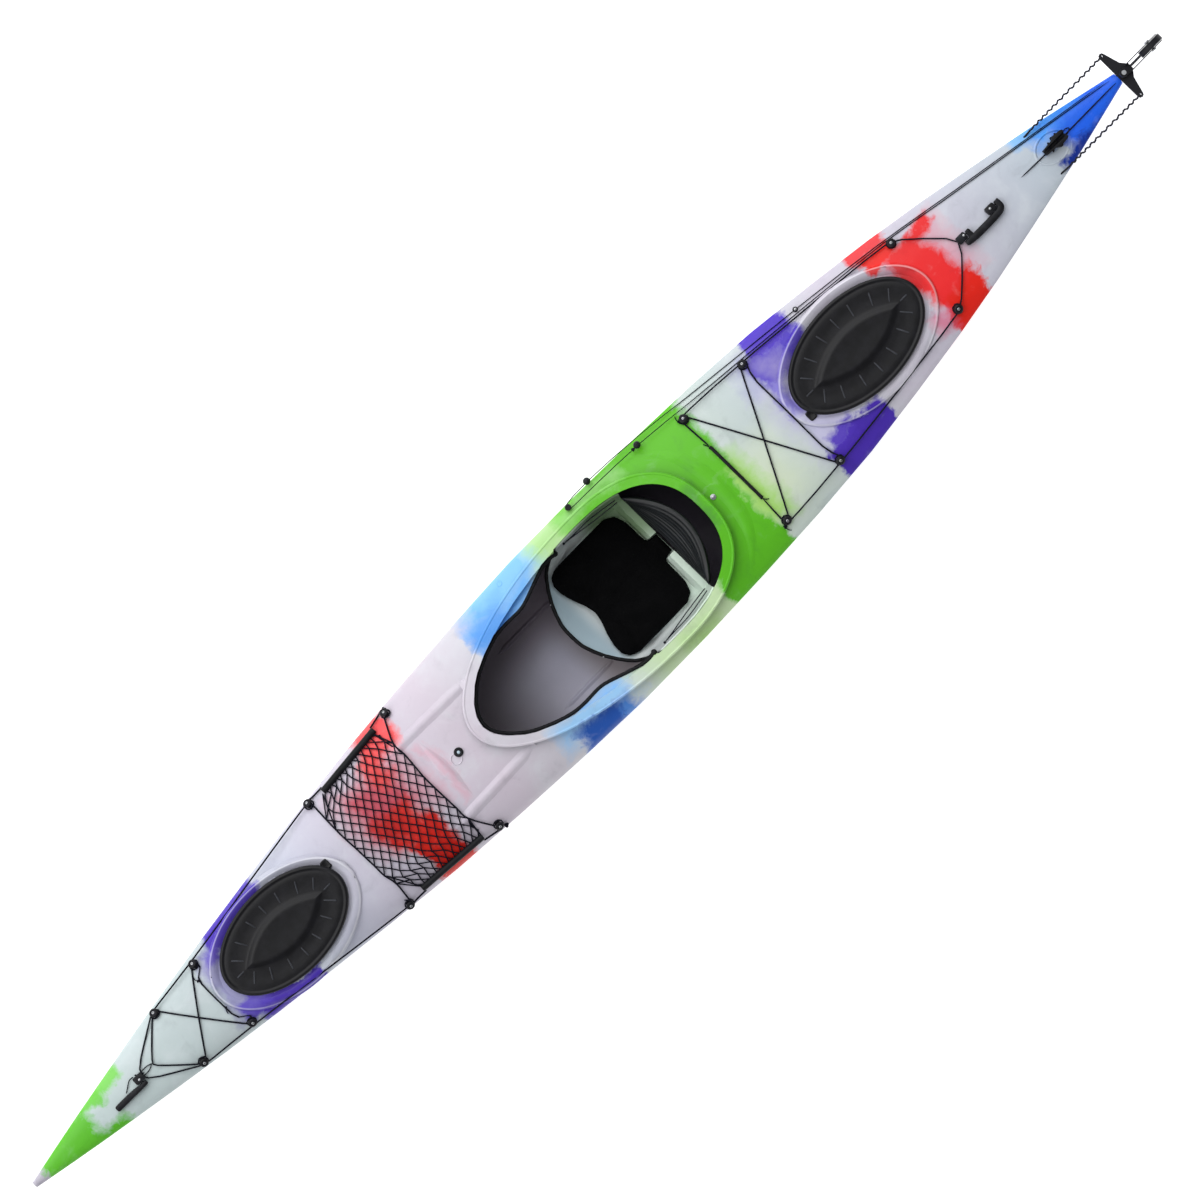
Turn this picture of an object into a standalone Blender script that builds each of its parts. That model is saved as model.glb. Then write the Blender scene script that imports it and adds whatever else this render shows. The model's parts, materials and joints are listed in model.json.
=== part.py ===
"""Single-seat touring kayak with a foot-steered stern rudder, as separate pieces at their real size.

Metres. +X is the bow, +Y is port, +Z is up. The origin is on the flat keel strip, amidships.
"""

import math

import bmesh
import bpy
import numpy as np
from mathutils import Matrix, Vector
from mathutils.bvhtree import BVHTree

# Hull
HULL_LENGTH = 4.500
HULL_BEAM = 0.568
HULL_WALL = 0.005
KEEL_STRIP = 0.090
SHEER_HEIGHT = 0.230
STATIONS = 28

# Lines of the hull: places run from 0 at the stern to 1 at the bow
PLAN_LINE = ((0, 0.067), (0.067, 0.31), (0.196, 0.694), (0.326, 0.926), (0.478, 1.0), (0.617, 0.898),
             (0.812, 0.549), (0.948, 0.194), (1, 0.035))
ROCKER_LINE = ((0, 0.200), (0.012, 0.115), (0.05, 0.045), (0.13, 0.012), (0.25, 0), (0.75, 0), (0.87, 0.012),
               (0.94, 0.045), (0.975, 0.105), (0.993, 0.215), (1, 0.300))
SHEER_RISE_LINE = ((0, 0.063), (0.2, 0.032), (0.38, 0.002), (0.5, 0), (0.75, 0.032), (0.92, 0.088), (1, 0.120))
CROWN_LINE = ((0, 0.012), (0.1, 0.016), (0.25, 0.038), (0.38, 0.046), (0.5, 0.066), (0.6, 0.085), (0.7, 0.076),
              (0.82, 0.050), (0.94, 0.020), (1, 0.010))
# Half sections as shares of the local half beam, and of the height from keel to sheer or sheer to crown
BOTTOM_SHAPE = ((0.50, 0.035), (0.76, 0.13), (0.90, 0.30), (0.975, 0.58), (1.0, 1.0))
DECK_SHAPE = ((0.985, 0.10), (0.93, 0.33), (0.76, 0.64), (0.56, 0.87), (0.30, 0.97), (0.0, 1.0))

# Gaps between pieces that touch, and round pieces that move
SEAT_GAP = 0.0003
FREE_GAP = 0.0008
DECK_GAP = 0.0005
# Half length of a cutter for a round hole
DRILL_REACH = 0.1

# Coaming, measured at the outer edge of its lip
COAMING_WIDEST_X = -0.201
COAMING_REAR = 0.334
COAMING_FRONT = 0.627
COAMING_HALF_WIDTH = 0.248
COAMING_LIP = 0.030
COAMING_LIP_THICKNESS = 0.009
COAMING_WALL = 0.008
COAMING_RISE = 0.028
COAMING_POINTS = 40
BRACE_START_X = -0.118
# Port edge of the leg opening between the thigh braces
LEG_OPENING = ((-0.110, 0.2080), (-0.060, 0.2100), (0.047, 0.1720), (0.092, 0.1660), (0.180, 0.1660),
               (0.294, 0.1218), (0.345, 0.0830), (0.3790, 0.0440), (0.3935, 0.0))
TRIM_RADIUS = 0.0042
TRIM_GAP = 0.0007

# Hatches: half length and half width of each cover
REAR_HATCH_FROM_STERN = 1.090
REAR_COVER = (0.2434, 0.1450)
FRONT_HATCH_FROM_BOW = 1.032
FRONT_COVER = (0.2280, 0.1377)
HATCH_COLLAR_MARGIN = (0.036, 0.028)
HATCH_COLLAR_RISE = 0.006
HATCH_RIM_INSET = 0.012
HATCH_RIM_WIDTH = 0.008
HATCH_RIM_HEIGHT = 0.015
COVER_SKIN = 0.006
COVER_LENS = (0.172, 0.058, 0.0045)
COVER_TAB = (0.022, 0.016, 0.009)
COVER_TAB_OFFSET = 0.047

# Seat
SEAT_BACK_X = -0.367
SEAT_SIDE_FRONT_X = -0.130
SEAT_FRONT_REACH = 0.156
SEAT_WALL = 0.004
SEAT_DEPTH = 0.172
SEAT_EDGE_GAP = 0.0008
# Port half of the seat's lower surface, as (y, height over its floor), with the rear ridge between two of them
SEAT_FLOOR = ((0.0, 0.0), (0.0415, 0.0), (0.0450, 0.0), (0.115, 0.0), (0.184, 0.0))
SEAT_SIDE = ((0.197, 0.018), (0.207, 0.075), (0.212, 0.145), (0.2172, 0.217))
SEAT_RIDGE_HEIGHT = 0.050
SEAT_RIDGE_START_Y = 0.044
SEAT_RIDGE = (0.019, 0.034)
SEAT_LIP = (0.086, 0.044, 0.028, 0.063)
PAD_THICKNESS = 0.026
PAD_CROWN = 0.006
PAD_GAP = 0.0010
# Port half of the seat pad, from the rear tongue round to the heart-shaped notch
PAD_OUTLINE = ((-0.366, 0.0), (-0.366, 0.035), (-0.334, 0.036), (-0.329, 0.048), (-0.328, 0.125), (-0.316, 0.160),
               (-0.285, 0.178), (-0.180, 0.179), (-0.082, 0.178), (-0.052, 0.166), (-0.038, 0.140),
               (-0.038, 0.108), (-0.048, 0.070), (-0.063, 0.032), (-0.070, 0.0))

# Backrest, with heights over the seat floor
BACKREST_HALF_WIDTH = 0.180
BACKREST_AXIS = (-0.376, 0.074)
BACKREST_TOP = (-0.452, 0.218)
BACKREST_END_FORWARD = 0.090
BACKREST_END_LOWER = 0.020
BACKREST_THICKNESS = 0.020
BACKREST_RIBS = 5
BACKREST_RIB_DEPTH = 0.004
STRAP_START = (-0.347, 0.184, 0.188)
STRAP_ANCHOR = (-0.152, 0.188)
STRAP_RADIUS = 0.0018

# Inside the hull
BULKHEAD_THICKNESS = 0.050
REAR_BULKHEAD_X = -0.600
FRONT_BULKHEAD_X = 0.980
RAIL_START_X = 0.450
RAIL_LENGTH = 0.400
RAIL_HEIGHT = 0.024
RAIL_THICKNESS = 0.008
RAIL_Z = 0.130
PEDAL_FROM_RAIL_START = 0.200
SLIDER_LENGTH = 0.060
SLIDER_WALL = 0.005
PEDAL_PLATE = (0.010, 0.070, -0.040, 0.070)
CONDUIT_RADIUS = 0.003
CONDUIT_ENTRY = (0.309, 0.0760)
CONDUIT_INSET = 0.012
# Places along the hull that the housings pass, and their height over SHEER_HEIGHT
CONDUIT_RUN = ((-1.780, 0.006), (-1.480, -0.018), (-1.150, -0.040), (-0.800, -0.054), (-0.400, -0.065),
               (0.0, -0.075), (0.280, -0.085))
WIRE_RADIUS = 0.0013
VENT_X = 0.4956
VENT_RADIUS = 0.0080
VENT_FLANGE_RADIUS = 0.0140

# Line guides: place along the hull, and how far inside the deck edge
GUIDE_RADIUS = 0.0136
GUIDE_BASE_RADIUS = 0.0088
GUIDE_WAIST = 0.0060
GUIDE_BASE = 0.0030
GUIDE_WAIST_HEIGHT = 0.0124
GUIDE_CAP = 0.0045
STERN_GUIDES = (("aft", 0.806, 0.051),)
COCKPIT_GUIDES = (("bungee_aft", -0.890, 0.059), ("bungee_fore", -0.656, 0.0605), ("net_aft", 0.567, 0.025),
                  ("net_fore", 0.912, 0.0215))
BOW_GUIDES = (("bow_aft", 0.774, 0.031), ("bow_fore", 0.594, 0.0225))

# Cords
LINE_RADIUS = 0.0025
LIFT_LINE_RADIUS = 0.0018
CORD_CLEARANCE = 0.0008
CROSSING_GAP = 0.0014
WRAP_GAP = 0.0004
TAIL_LENGTH = 0.016
RUBBER_SLEEVE_ENDS = (-0.099, 0.112)
RUBBER_SLEEVE_RADIUS = 0.0050
RUBBER_SLEEVE_FORWARD = 0.004
SLEEVE_FACE_GAP = 0.0004
BUNGEE_TIP_FORWARD = 0.108
LAY_STEP = 0.008
LOW_LEVEL = GUIDE_BASE + LINE_RADIUS + 0.0005
HIGH_LEVEL = LOW_LEVEL + 2 * LINE_RADIUS + 0.0008

# Deck net
NET_COLUMNS = 8
NET_ROWS = 10
NET_STRAND = 0.0034
NET_LIFT = 0.0060
SLEEVE_RADIUS = 0.0080
# Clear length of rope between each end of a sleeve and its guide's centre
SLEEVE_FROM_GUIDE = 0.058

# Carry handles
STERN_HANDLE_AFT = 0.533
STERN_HANDLE_FORE = 0.653
BOW_HANDLE_FROM_BOW = 0.431
HANDLE_RADIUS = 0.0096
HANDLE_REACH = 0.036
HANDLE_AXLE_RADIUS = 0.0030
HANDLE_AXIS_HEIGHT = 0.0140
# Deck mount: half length, half width, height, and height of the hole for the deck line
HANDLE_MOUNT = (0.0160, 0.0125, 0.0210)
MOUNT_LINE_HEIGHT = 0.0050
MOUNT_LINE_OFFSET = 0.0085

# Rudder, with heights over the deck edge at the stern
PIN_BEHIND_STERN = 0.015
PIN_RADIUS = 0.0040
PIN_TOP = 0.0525
BRACKET_LUGS = (-0.082, 0.0157)
BRACKET_LUG_HEIGHT = 0.012
BRACKET_HALF_WIDTH = 0.012
BRACKET_PLATE = 0.004
YOKE_HEIGHT = 0.0230
YOKE_THICKNESS = 0.004
YOKE_ARM = 0.079
YOKE_TIP_RADIUS = 0.0095
EYELET_RADIUS = 0.003
HUB_RADIUS = 0.0130
HUB_TOP = 0.0518
WEB_TOP = 0.0430
CHEEK_OUTER = 0.014
CHEEK_PLATE = 0.003
BOLT_BEHIND_PIN = 0.102
BOLT_HEIGHT = 0.0920
BOLT_RADIUS = 0.004
BOLT_HEAD_RADIUS = 0.008
BLADE_HEAD_RADIUS = 0.040
BLADE_HEAD_HALF_WIDTH = 0.0100
BLADE_THICKNESS = 0.0076
# Side outline of the hanging blade from the bolt: forward of it, and below it
BLADE_OUTLINE = ((0.030, -0.024), (0.042, -0.070), (0.066, -0.145), (0.075, -0.230), (0.066, -0.300),
                 (0.040, -0.350), (0.012, -0.364), (-0.002, -0.345), (-0.015, -0.250), (-0.0155, -0.100),
                 (-0.030, -0.024))
CHOCK_FROM_STERN = 0.2605
CHOCK_LENGTH = 0.102
# Half width at places from its aft end, -1, to its fore end, 1
CHOCK_WIDTHS = ((-1.0, 0.0150), (-0.9, 0.0175), (-0.5, 0.0175), (-0.35, 0.0120), (1.0, 0.0120))
CHOCK_RISE = 0.036
CHOCK_GROOVE_DEPTH = 0.023
CHOCK_FOOT_DEPTH = 0.018
STOW_TAIL = 0.096

# Lift line and its grips, with heights over SHEER_HEIGHT
BALL_RADIUS = 0.0115
PULLEY = (-0.236, -0.272, 0.028)
PULLEY_WAIST = 0.0065
EYE = (-1.113, -0.2016)
# Straight run of each strand that a grip ball slides along
INNER_RUN = ((-0.300, -0.2625, 0.0330), (-0.535, -0.2545, 0.0425))
OUTER_RUN = ((-0.300, -0.2885, 0.0220), (-0.535, -0.2735, 0.0240))
# Places that the strands pass on the deck: each alone behind the cockpit, then side by side to the stern
INNER_PLACES = ((-0.700, -0.2310), (-0.890, -0.2143))
OUTER_PLACES = ((-0.700, -0.2500), (-0.900, -0.2270), (-1.076, -0.2063))
OUTER_PAST_EYE = (-1.232, -0.1855)
PAIR_PLACES = ((-1.444, -0.1572), (-1.600, -0.1228), (-1.950, -0.0640), (-2.238, -0.0140))
PAIR_SPACING = 0.0048
BALL_INNER_X = -0.507
BALL_OUTER_X = -0.329

GEL = (0.86, 0.88, 0.87, 1.0)
BLACK = (0.015, 0.015, 0.017, 1.0)


# Scene and mesh helpers

def clear_scene():
    for thing in list(bpy.data.objects):
        bpy.data.objects.remove(thing, do_unlink=True)


def material(name, colour, roughness, metallic=0.0):
    made = bpy.data.materials.get(name)
    if made:
        return made
    made = bpy.data.materials.new(name)
    made.use_nodes = True
    shader = made.node_tree.nodes["Principled BSDF"]
    shader.inputs["Base Color"].default_value = colour
    shader.inputs["Roughness"].default_value = roughness
    shader.inputs["Metallic"].default_value = metallic
    made.diffuse_color = colour
    return made


def hull_plastic():
    return material("hull_plastic", GEL, 0.30)


def seat_plastic():
    return material("seat_plastic", (0.72, 0.80, 0.76, 1.0), 0.35)


def black_rubber():
    return material("black_rubber", BLACK, 0.55)


def black_plastic():
    return material("black_plastic", BLACK, 0.35)


def black_foam():
    return material("black_foam", (0.012, 0.012, 0.014, 1.0), 0.95)


def grey_foam():
    return material("grey_foam", (0.20, 0.20, 0.21, 1.0), 0.90)


def black_cord():
    return material("black_cord", (0.018, 0.018, 0.022, 1.0), 0.80)


def grey_metal():
    return material("grey_metal", (0.62, 0.62, 0.60, 1.0), 0.30, 1.0)


def black_metal():
    return material("black_metal", (0.03, 0.03, 0.035, 1.0), 0.40, 0.8)


def mesh_object(name, points, faces, finish, smooth_angle=35.0, place=None):
    """A closed mesh with outward faces, moved by a matrix where one is given."""
    mesh = bpy.data.meshes.new(name)
    mesh.from_pydata([tuple(p) for p in points], [], faces)
    build = bmesh.new()
    build.from_mesh(mesh)
    if place is not None:
        build.transform(place)
    bmesh.ops.recalc_face_normals(build, faces=build.faces)
    if build.calc_volume(signed=True) < 0:
        bmesh.ops.reverse_faces(build, faces=build.faces)
    build.to_mesh(mesh)
    build.free()
    return finished(name, mesh, finish, smooth_angle)


def finished(name, mesh, finish, smooth_angle=35.0):
    mesh.materials.clear()
    mesh.materials.append(finish)
    mesh.shade_smooth()
    mesh.set_sharp_from_angle(angle=math.radians(smooth_angle))
    thing = bpy.data.objects.new(name, mesh)
    bpy.context.collection.objects.link(thing)
    return thing


def lofted(name, rings, finish, smooth_angle=35.0, place=None, looped=False, mirrored=False):
    """Skin over equal rings of points, with flat ends, or joined end to end where looped.

    A mirrored skin is made of triangles that match on the two sides of the centre plane.
    """
    count = len(rings[0])
    points = [p for ring in rings for p in ring]
    faces = []
    last = len(rings) if looped else len(rings) - 1
    for row in range(last):
        here = row * count
        there = (row + 1) % len(rings) * count
        for k in range(count):
            n = (k + 1) % count
            if mirrored and k < count / 2:
                faces += [(here + k, here + n, there + n), (here + k, there + n, there + k)]
            elif mirrored:
                faces += [(here + k, here + n, there + k), (here + n, there + n, there + k)]
            else:
                faces.append((here + k, here + n, there + n, there + k))
    if not looped:
        faces.append(tuple(range(count))[::-1])
        faces.append(tuple(range(len(points) - count, len(points))))
    return mesh_object(name, points, faces, finish, smooth_angle, place)


def turned(name, profile, sides, finish, place=None, smooth_angle=40.0):
    """Solid of revolution about Z from (radius, height) points that start and end on the axis."""
    rings = []
    for radius, height in profile[1:-1]:
        turn = [2 * math.pi * k / sides for k in range(sides)]
        rings.append([(radius * math.cos(a), radius * math.sin(a), height) for a in turn])
    return lofted(name, rings, finish, smooth_angle, place)


def prism(name, outline, low, high, finish, place=None):
    """Flat outline in X and Y, given thickness from low to high in Z."""
    rings = [[(x, y, low) for x, y in outline], [(x, y, high) for x, y in outline]]
    return lofted(name, rings, finish, 35.0, place)


def block(name, low, high, finish, place=None):
    outline = ((low[0], low[1]), (high[0], low[1]), (high[0], high[1]), (low[0], high[1]))
    return prism(name, outline, low[2], high[2], finish, place)


def tube(name, route, radius, finish, sides=8):
    """Solid bar of round section along a route."""
    route = [Vector(p) for p in route]
    side = (route[1] - route[0]).orthogonal().normalized()
    rings = []
    for k, p in enumerate(route):
        along = (route[min(k + 1, len(route) - 1)] - route[max(k - 1, 0)]).normalized()
        side = (side - along * side.dot(along)).normalized()
        other = along.cross(side)
        turn = [2 * math.pi * n / sides for n in range(sides)]
        rings.append([p + (side * math.cos(a) + other * math.sin(a)) * radius for a in turn])
    return lofted(name, rings, finish)


def rod(name, start, end, radius, finish, sides=16):
    """Round bar between two points."""
    start = Vector(start)
    end = Vector(end)
    length = (end - start).length
    profile = ((0, 0), (radius, 0), (radius, length), (0, length))
    turn = (end - start).to_track_quat("Z", "Y").to_matrix().to_4x4()
    return turned(name, profile, sides, finish, Matrix.Translation(start) @ turn)


def set_origin(thing, place):
    """Move an object's origin to a place without moving its shape."""
    thing.data.transform(Matrix.Translation(-Vector(place)))
    thing.location = place


def combine(target, other, operation, keep_other=False):
    """Boolean of target with other, applied to target's mesh."""
    step = target.modifiers.new("combine", "BOOLEAN")
    step.operation = operation
    step.object = other
    bpy.context.view_layer.update()
    graph = bpy.context.evaluated_depsgraph_get()
    mesh = bpy.data.meshes.new_from_object(target.evaluated_get(graph))
    target.modifiers.remove(step)
    old = target.data
    finish = old.materials[0]
    target.data = mesh
    bpy.data.meshes.remove(old)
    mesh.materials.clear()
    mesh.materials.append(finish)
    mesh.shade_smooth()
    mesh.set_sharp_from_angle(angle=math.radians(35.0))
    if not keep_other:
        bpy.data.objects.remove(other, do_unlink=True)
    return target


def cord(name, points, radius, finish, closed=False):
    """Round cord along points, as a curve with filled ends."""
    data = bpy.data.curves.new(name, "CURVE")
    data.dimensions = "3D"
    data.fill_mode = "FULL"
    data.bevel_depth = radius
    data.bevel_resolution = 2
    data.use_fill_caps = True
    spline = data.splines.new("POLY")
    spline.points.add(len(points) - 1)
    for slot, p in zip(spline.points, points):
        slot.co = (p[0], p[1], p[2], 1.0)
    spline.use_cyclic_u = closed
    data.materials.append(finish)
    thing = bpy.data.objects.new(name, data)
    bpy.context.collection.objects.link(thing)
    return thing


def smooth_curve(points, steps):
    """Catmull-Rom curve through points, with this many steps between neighbours."""
    points = [np.array(p, dtype=float) for p in points]
    padded = [2 * points[0] - points[1]] + points + [2 * points[-1] - points[-2]]
    out = []
    for k in range(1, len(padded) - 2):
        a, b, c, d = padded[k - 1 : k + 3]
        for step in range(steps):
            t = step / steps
            out.append(tuple(0.5 * (2 * b + (c - a) * t + (2 * a - 5 * b + 4 * c - d) * t * t
                                    + (3 * b - a - 3 * c + d) * t ** 3)))
    out.append(tuple(points[-1]))
    return out


def monotone(line, place):
    """Value at a place on a smooth line through (place, value) points, which never overshoots them."""
    xs = [p[0] for p in line]
    ys = [p[1] for p in line]
    place = min(max(place, xs[0]), xs[-1])
    secants = [(ys[k + 1] - ys[k]) / (xs[k + 1] - xs[k]) for k in range(len(xs) - 1)]
    slopes = [secants[0]]
    for left, right in zip(secants, secants[1:]):
        slopes.append(2 * left * right / (left + right) if left * right > 0 else 0.0)
    slopes.append(secants[-1])
    k = min(max(k for k in range(len(xs)) if xs[k] <= place), len(xs) - 2)
    width = xs[k + 1] - xs[k]
    t = (place - xs[k]) / width
    return (ys[k] * (1 + 2 * t) * (1 - t) ** 2 + slopes[k] * width * t * (1 - t) ** 2
            + ys[k + 1] * t * t * (3 - 2 * t) + slopes[k + 1] * width * t * t * (t - 1))


def drill(target, centre, axis, radius, sides=20):
    """Round hole right through a piece."""
    reach = Vector(axis) * DRILL_REACH
    cut = rod("bore", Vector(centre) - reach, Vector(centre) + reach, radius, target.data.materials[0], sides)
    return combine(target, cut, "DIFFERENCE")


# Hull lines

def from_stern(distance):
    return distance - HULL_LENGTH / 2


def from_bow(distance):
    return HULL_LENGTH / 2 - distance


def share(x):
    return (x + HULL_LENGTH / 2) / HULL_LENGTH


def half_beam(x):
    return HULL_BEAM / 2 * monotone(PLAN_LINE, share(x))


def keel_z(x):
    return monotone(ROCKER_LINE, share(x))


def sheer_z(x):
    return SHEER_HEIGHT + monotone(SHEER_RISE_LINE, share(x))


def crown(x):
    return monotone(CROWN_LINE, share(x))


def deck_z(x, y):
    """Height of the plain deck surface."""
    out = min(abs(y) / half_beam(x), 1.0)
    places = [0.0] + [p[0] for p in reversed(DECK_SHAPE[:-1])] + [1.0]
    shares = [1.0] + [p[1] for p in reversed(DECK_SHAPE[:-1])] + [0.0]
    return sheer_z(x) + crown(x) * float(np.interp(out, places, shares))


def half_section(x, inset):
    """Keel to deck centre on the port side, as (y, z), moved inwards by inset."""
    beam = half_beam(x) - inset
    low = keel_z(x) + inset
    sheer = sheer_z(x)
    high = crown(x) - inset
    strip = min(KEEL_STRIP / 2, 0.3 * beam)
    points = [(0.0, low), (strip, low)]
    points += [(u * beam, low + v * (sheer - low)) for u, v in BOTTOM_SHAPE]
    points += [(u * beam, sheer + v * high) for u, v in DECK_SHAPE]
    return points


def section(x, inset):
    half = half_section(x, inset)
    port = [(x, y, z) for y, z in half]
    starboard = [(x, -y, z) for y, z in reversed(half[1:-1])]
    return port + starboard


def inner_half_width(x, z):
    """Half width of the inner wall of the hull below the sheer."""
    half = half_section(x, HULL_WALL)[1 : 2 + len(BOTTOM_SHAPE)]
    return float(np.interp(z, [p[1] for p in half], [p[0] for p in half]))


def station_x(k):
    return HULL_LENGTH / 2 * -math.cos(math.pi * k / STATIONS)


def hull_solid(name, inset, first, last, finish):
    rings = [section(station_x(k), inset) for k in range(first, last + 1)]
    return lofted(name, rings, finish, mirrored=True)


def hull_slice(name, inset, start, end, finish):
    """Part of the solid inside the hull between two places, on the same facets."""
    body = hull_solid(name, inset, 3, STATIONS - 3, finish)
    cut = block("slice", (start, -HULL_BEAM, -0.1), (end, HULL_BEAM, 1.0), finish)
    return combine(body, cut, "INTERSECT")


# Coaming and hatches

def coaming_point(angle, inset):
    """Point of the coaming's plan outline, moved inwards from the lip's outer edge."""
    across = math.cos(angle)
    length = (COAMING_FRONT if across > 0 else COAMING_REAR) - inset
    power = 2.0 if across > 0 else 2.5
    x = COAMING_WIDEST_X + length * math.copysign(abs(across) ** (2 / power), across)
    y = (COAMING_HALF_WIDTH - inset) * math.copysign(abs(math.sin(angle)) ** (2 / power), math.sin(angle))
    return x, y


def coaming_wall_y(x):
    """Half width inside the coaming wall."""
    length = (COAMING_FRONT if x > COAMING_WIDEST_X else COAMING_REAR) - COAMING_LIP
    power = 2.0 if x > COAMING_WIDEST_X else 2.5
    along = min(abs(x - COAMING_WIDEST_X) / length, 1.0)
    return (COAMING_HALF_WIDTH - COAMING_LIP) * (1 - along ** power) ** (1 / power)


def coaming_ring(finish):
    """Raised wall with an outward lip, whose foot goes down into the deck."""
    inner_inset = COAMING_LIP + 0.003
    rings = []
    for k in range(COAMING_POINTS):
        angle = 2 * math.pi * k / COAMING_POINTS
        ix, iy = coaming_point(angle, inner_inset)
        wx, wy = coaming_point(angle, COAMING_LIP - COAMING_WALL)
        ox, oy = coaming_point(angle, 0.0)
        top = deck_z(ix, iy) + COAMING_RISE
        foot = min(deck_z(ix, iy), deck_z(wx, wy)) - 0.02
        rings.append([(ix, iy, foot), (ix, iy, top), (ox, oy, top - 0.002),
                      (ox, oy, top - COAMING_LIP_THICKNESS), (wx, wy, top - COAMING_LIP_THICKNESS), (wx, wy, foot)])
    return lofted("coaming", rings, finish, looped=True)


def leg_edge():
    """Port edge of the leg opening, which crosses the centre line squarely at its fore end."""
    x, y = LEG_OPENING[-2]
    return smooth_curve(LEG_OPENING + ((x, -y),), 2)[:-2]


def cockpit_outline():
    """Opening in the deck: the coaming's inner wall behind, the thigh braces' edges ahead."""
    half = []
    steps = COAMING_POINTS
    for k in range(steps):
        x, y = coaming_point(math.pi - math.pi * k / steps, COAMING_LIP)
        if x > BRACE_START_X - 0.005:
            break
        half.append((x, y))
    half.append((BRACE_START_X, coaming_wall_y(BRACE_START_X)))
    half += leg_edge()
    return half + [(x, -y) for x, y in reversed(half[1:-1])]


def ellipse(size, inset, z, sides=32):
    turn = [2 * math.pi * k / sides for k in range(sides)]
    return [((size[0] - inset) * math.cos(a), (size[1] - inset) * math.sin(a), z) for a in turn]


def hatch_frame(centre_x, cover):
    """Frame on the flat top of a hatch collar, which follows the slope of the deck."""
    reach = cover[0] + HATCH_COLLAR_MARGIN[0]
    aft = deck_z(centre_x - reach, 0)
    fore = deck_z(centre_x + reach, 0)
    slope = math.atan2(fore - aft, 2 * reach)
    height = (aft + fore) / 2 + HATCH_COLLAR_RISE
    return Matrix.Translation((centre_x, 0, height)) @ Matrix.Rotation(-slope, 4, "Y")


def hatch_collar(name, centre_x, cover, finish):
    ahead, aside = HATCH_COLLAR_MARGIN
    rings = []
    for part, z in ((1.05, -0.075), (1.0, -0.016), (0.80, -0.004), (0.55, 0.0)):
        rings.append(ellipse((cover[0] + ahead * part, cover[1] + aside * part), 0.0, z))
    rings += [ellipse(cover, HATCH_RIM_INSET, z) for z in (0.0, HATCH_RIM_HEIGHT)]
    return lofted(name, rings, finish, place=hatch_frame(centre_x, cover))


def hatch_mouth(name, centre_x, cover, finish):
    inset = HATCH_RIM_INSET + HATCH_RIM_WIDTH
    rings = [ellipse(cover, inset, z) for z in (-0.09, 0.05)]
    return lofted(name, rings, finish, place=hatch_frame(centre_x, cover))


def hatch_cover(name, centre_x, cover, turn, finish):
    """Rubber cover that snaps over the rim, with a raised lens and a pull tab."""
    inner = HATCH_RIM_INSET - FREE_GAP
    under = HATCH_RIM_HEIGHT + FREE_GAP
    skirt = FREE_GAP
    top = under + COVER_SKIN
    shape = ((inner, under), (inner, skirt), (0.0, skirt), (0.0, top - 0.005), (0.004, top + 0.001),
             (0.030, top + 0.002), (0.040, top))
    rings = [ellipse(cover, inset, z) for inset, z in shape]
    frame = hatch_frame(centre_x, cover) @ Matrix.Rotation(turn, 4, "Z")
    made = lofted(name, rings, finish, place=frame)
    length, width, rise = COVER_LENS
    length = length + cover[0] - REAR_COVER[0]
    steps = 10
    upper = [(length * (2 * k / steps - 1), width * (1 - (2 * k / steps - 1) ** 2)) for k in range(steps + 1)]
    outline = upper + [(x, -y) for x, y in reversed(upper[1:-1])]
    lens = prism("lens", outline, top - 0.002, top + rise, finish, frame)
    combine(made, lens, "UNION")
    tab_width, tab_reach, tab_top = COVER_TAB
    sides = [COVER_TAB_OFFSET - tab_width / 2, COVER_TAB_OFFSET + tab_width / 2]
    edge = [cover[0] * math.sqrt(1 - (y / cover[1]) ** 2) for y in sides]
    outline = ((edge[0] - 0.003, sides[0]), (edge[0] + tab_reach, sides[0]), (edge[0] + tab_reach, sides[1]),
               (edge[1] - 0.003, sides[1]))
    return combine(made, prism("tab", outline, 0.001, tab_top, finish, frame), "UNION")


def conduit_entry(sign):
    """Outer and inner ends of the straight run of a cable housing through the deck."""
    distance, y = CONDUIT_ENTRY
    x = from_stern(distance)
    top = deck_z(x, y)
    outer = Vector((x - 0.020, sign * (y + 0.0015), top + 0.0125))
    inner = Vector((x + 0.045, sign * (y - 0.0035), top - 0.0280))
    return outer, inner


def make_hull():
    """One-piece moulded shell, open at the cockpit, the two hatches, the vent and the cable entries."""
    plastic = hull_plastic()
    hull = hull_solid("hull_shell", 0.0, 0, STATIONS, plastic)
    combine(hull, coaming_ring(plastic), "UNION")
    combine(hull, hatch_collar("rear_collar", from_stern(REAR_HATCH_FROM_STERN), REAR_COVER, plastic), "UNION")
    combine(hull, hatch_collar("front_collar", from_bow(FRONT_HATCH_FROM_BOW), FRONT_COVER, plastic), "UNION")
    combine(hull, hull_solid("cavity", HULL_WALL, 3, STATIONS - 3, plastic), "DIFFERENCE")
    opening = prism("cockpit_opening", cockpit_outline(), 0.5 * SHEER_HEIGHT, 2 * SHEER_HEIGHT, plastic)
    combine(hull, opening, "DIFFERENCE")
    rear = hatch_mouth("rear_mouth", from_stern(REAR_HATCH_FROM_STERN), REAR_COVER, plastic)
    combine(hull, rear, "DIFFERENCE")
    front = hatch_mouth("front_mouth", from_bow(FRONT_HATCH_FROM_BOW), FRONT_COVER, plastic)
    combine(hull, front, "DIFFERENCE")
    drill(hull, (VENT_X, 0, deck_z(VENT_X, 0)), (0, 0, 1), VENT_RADIUS + 0.0006, 16)
    for sign in (1, -1):
        outer, inner = conduit_entry(sign)
        along = (inner - outer).normalized()
        entry = rod("entry_hole", outer - along * 0.03, inner + along * 0.01, CONDUIT_RADIUS + 0.0005, plastic, 12)
        combine(hull, entry, "DIFFERENCE")
    return hull


# Deck placing

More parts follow.
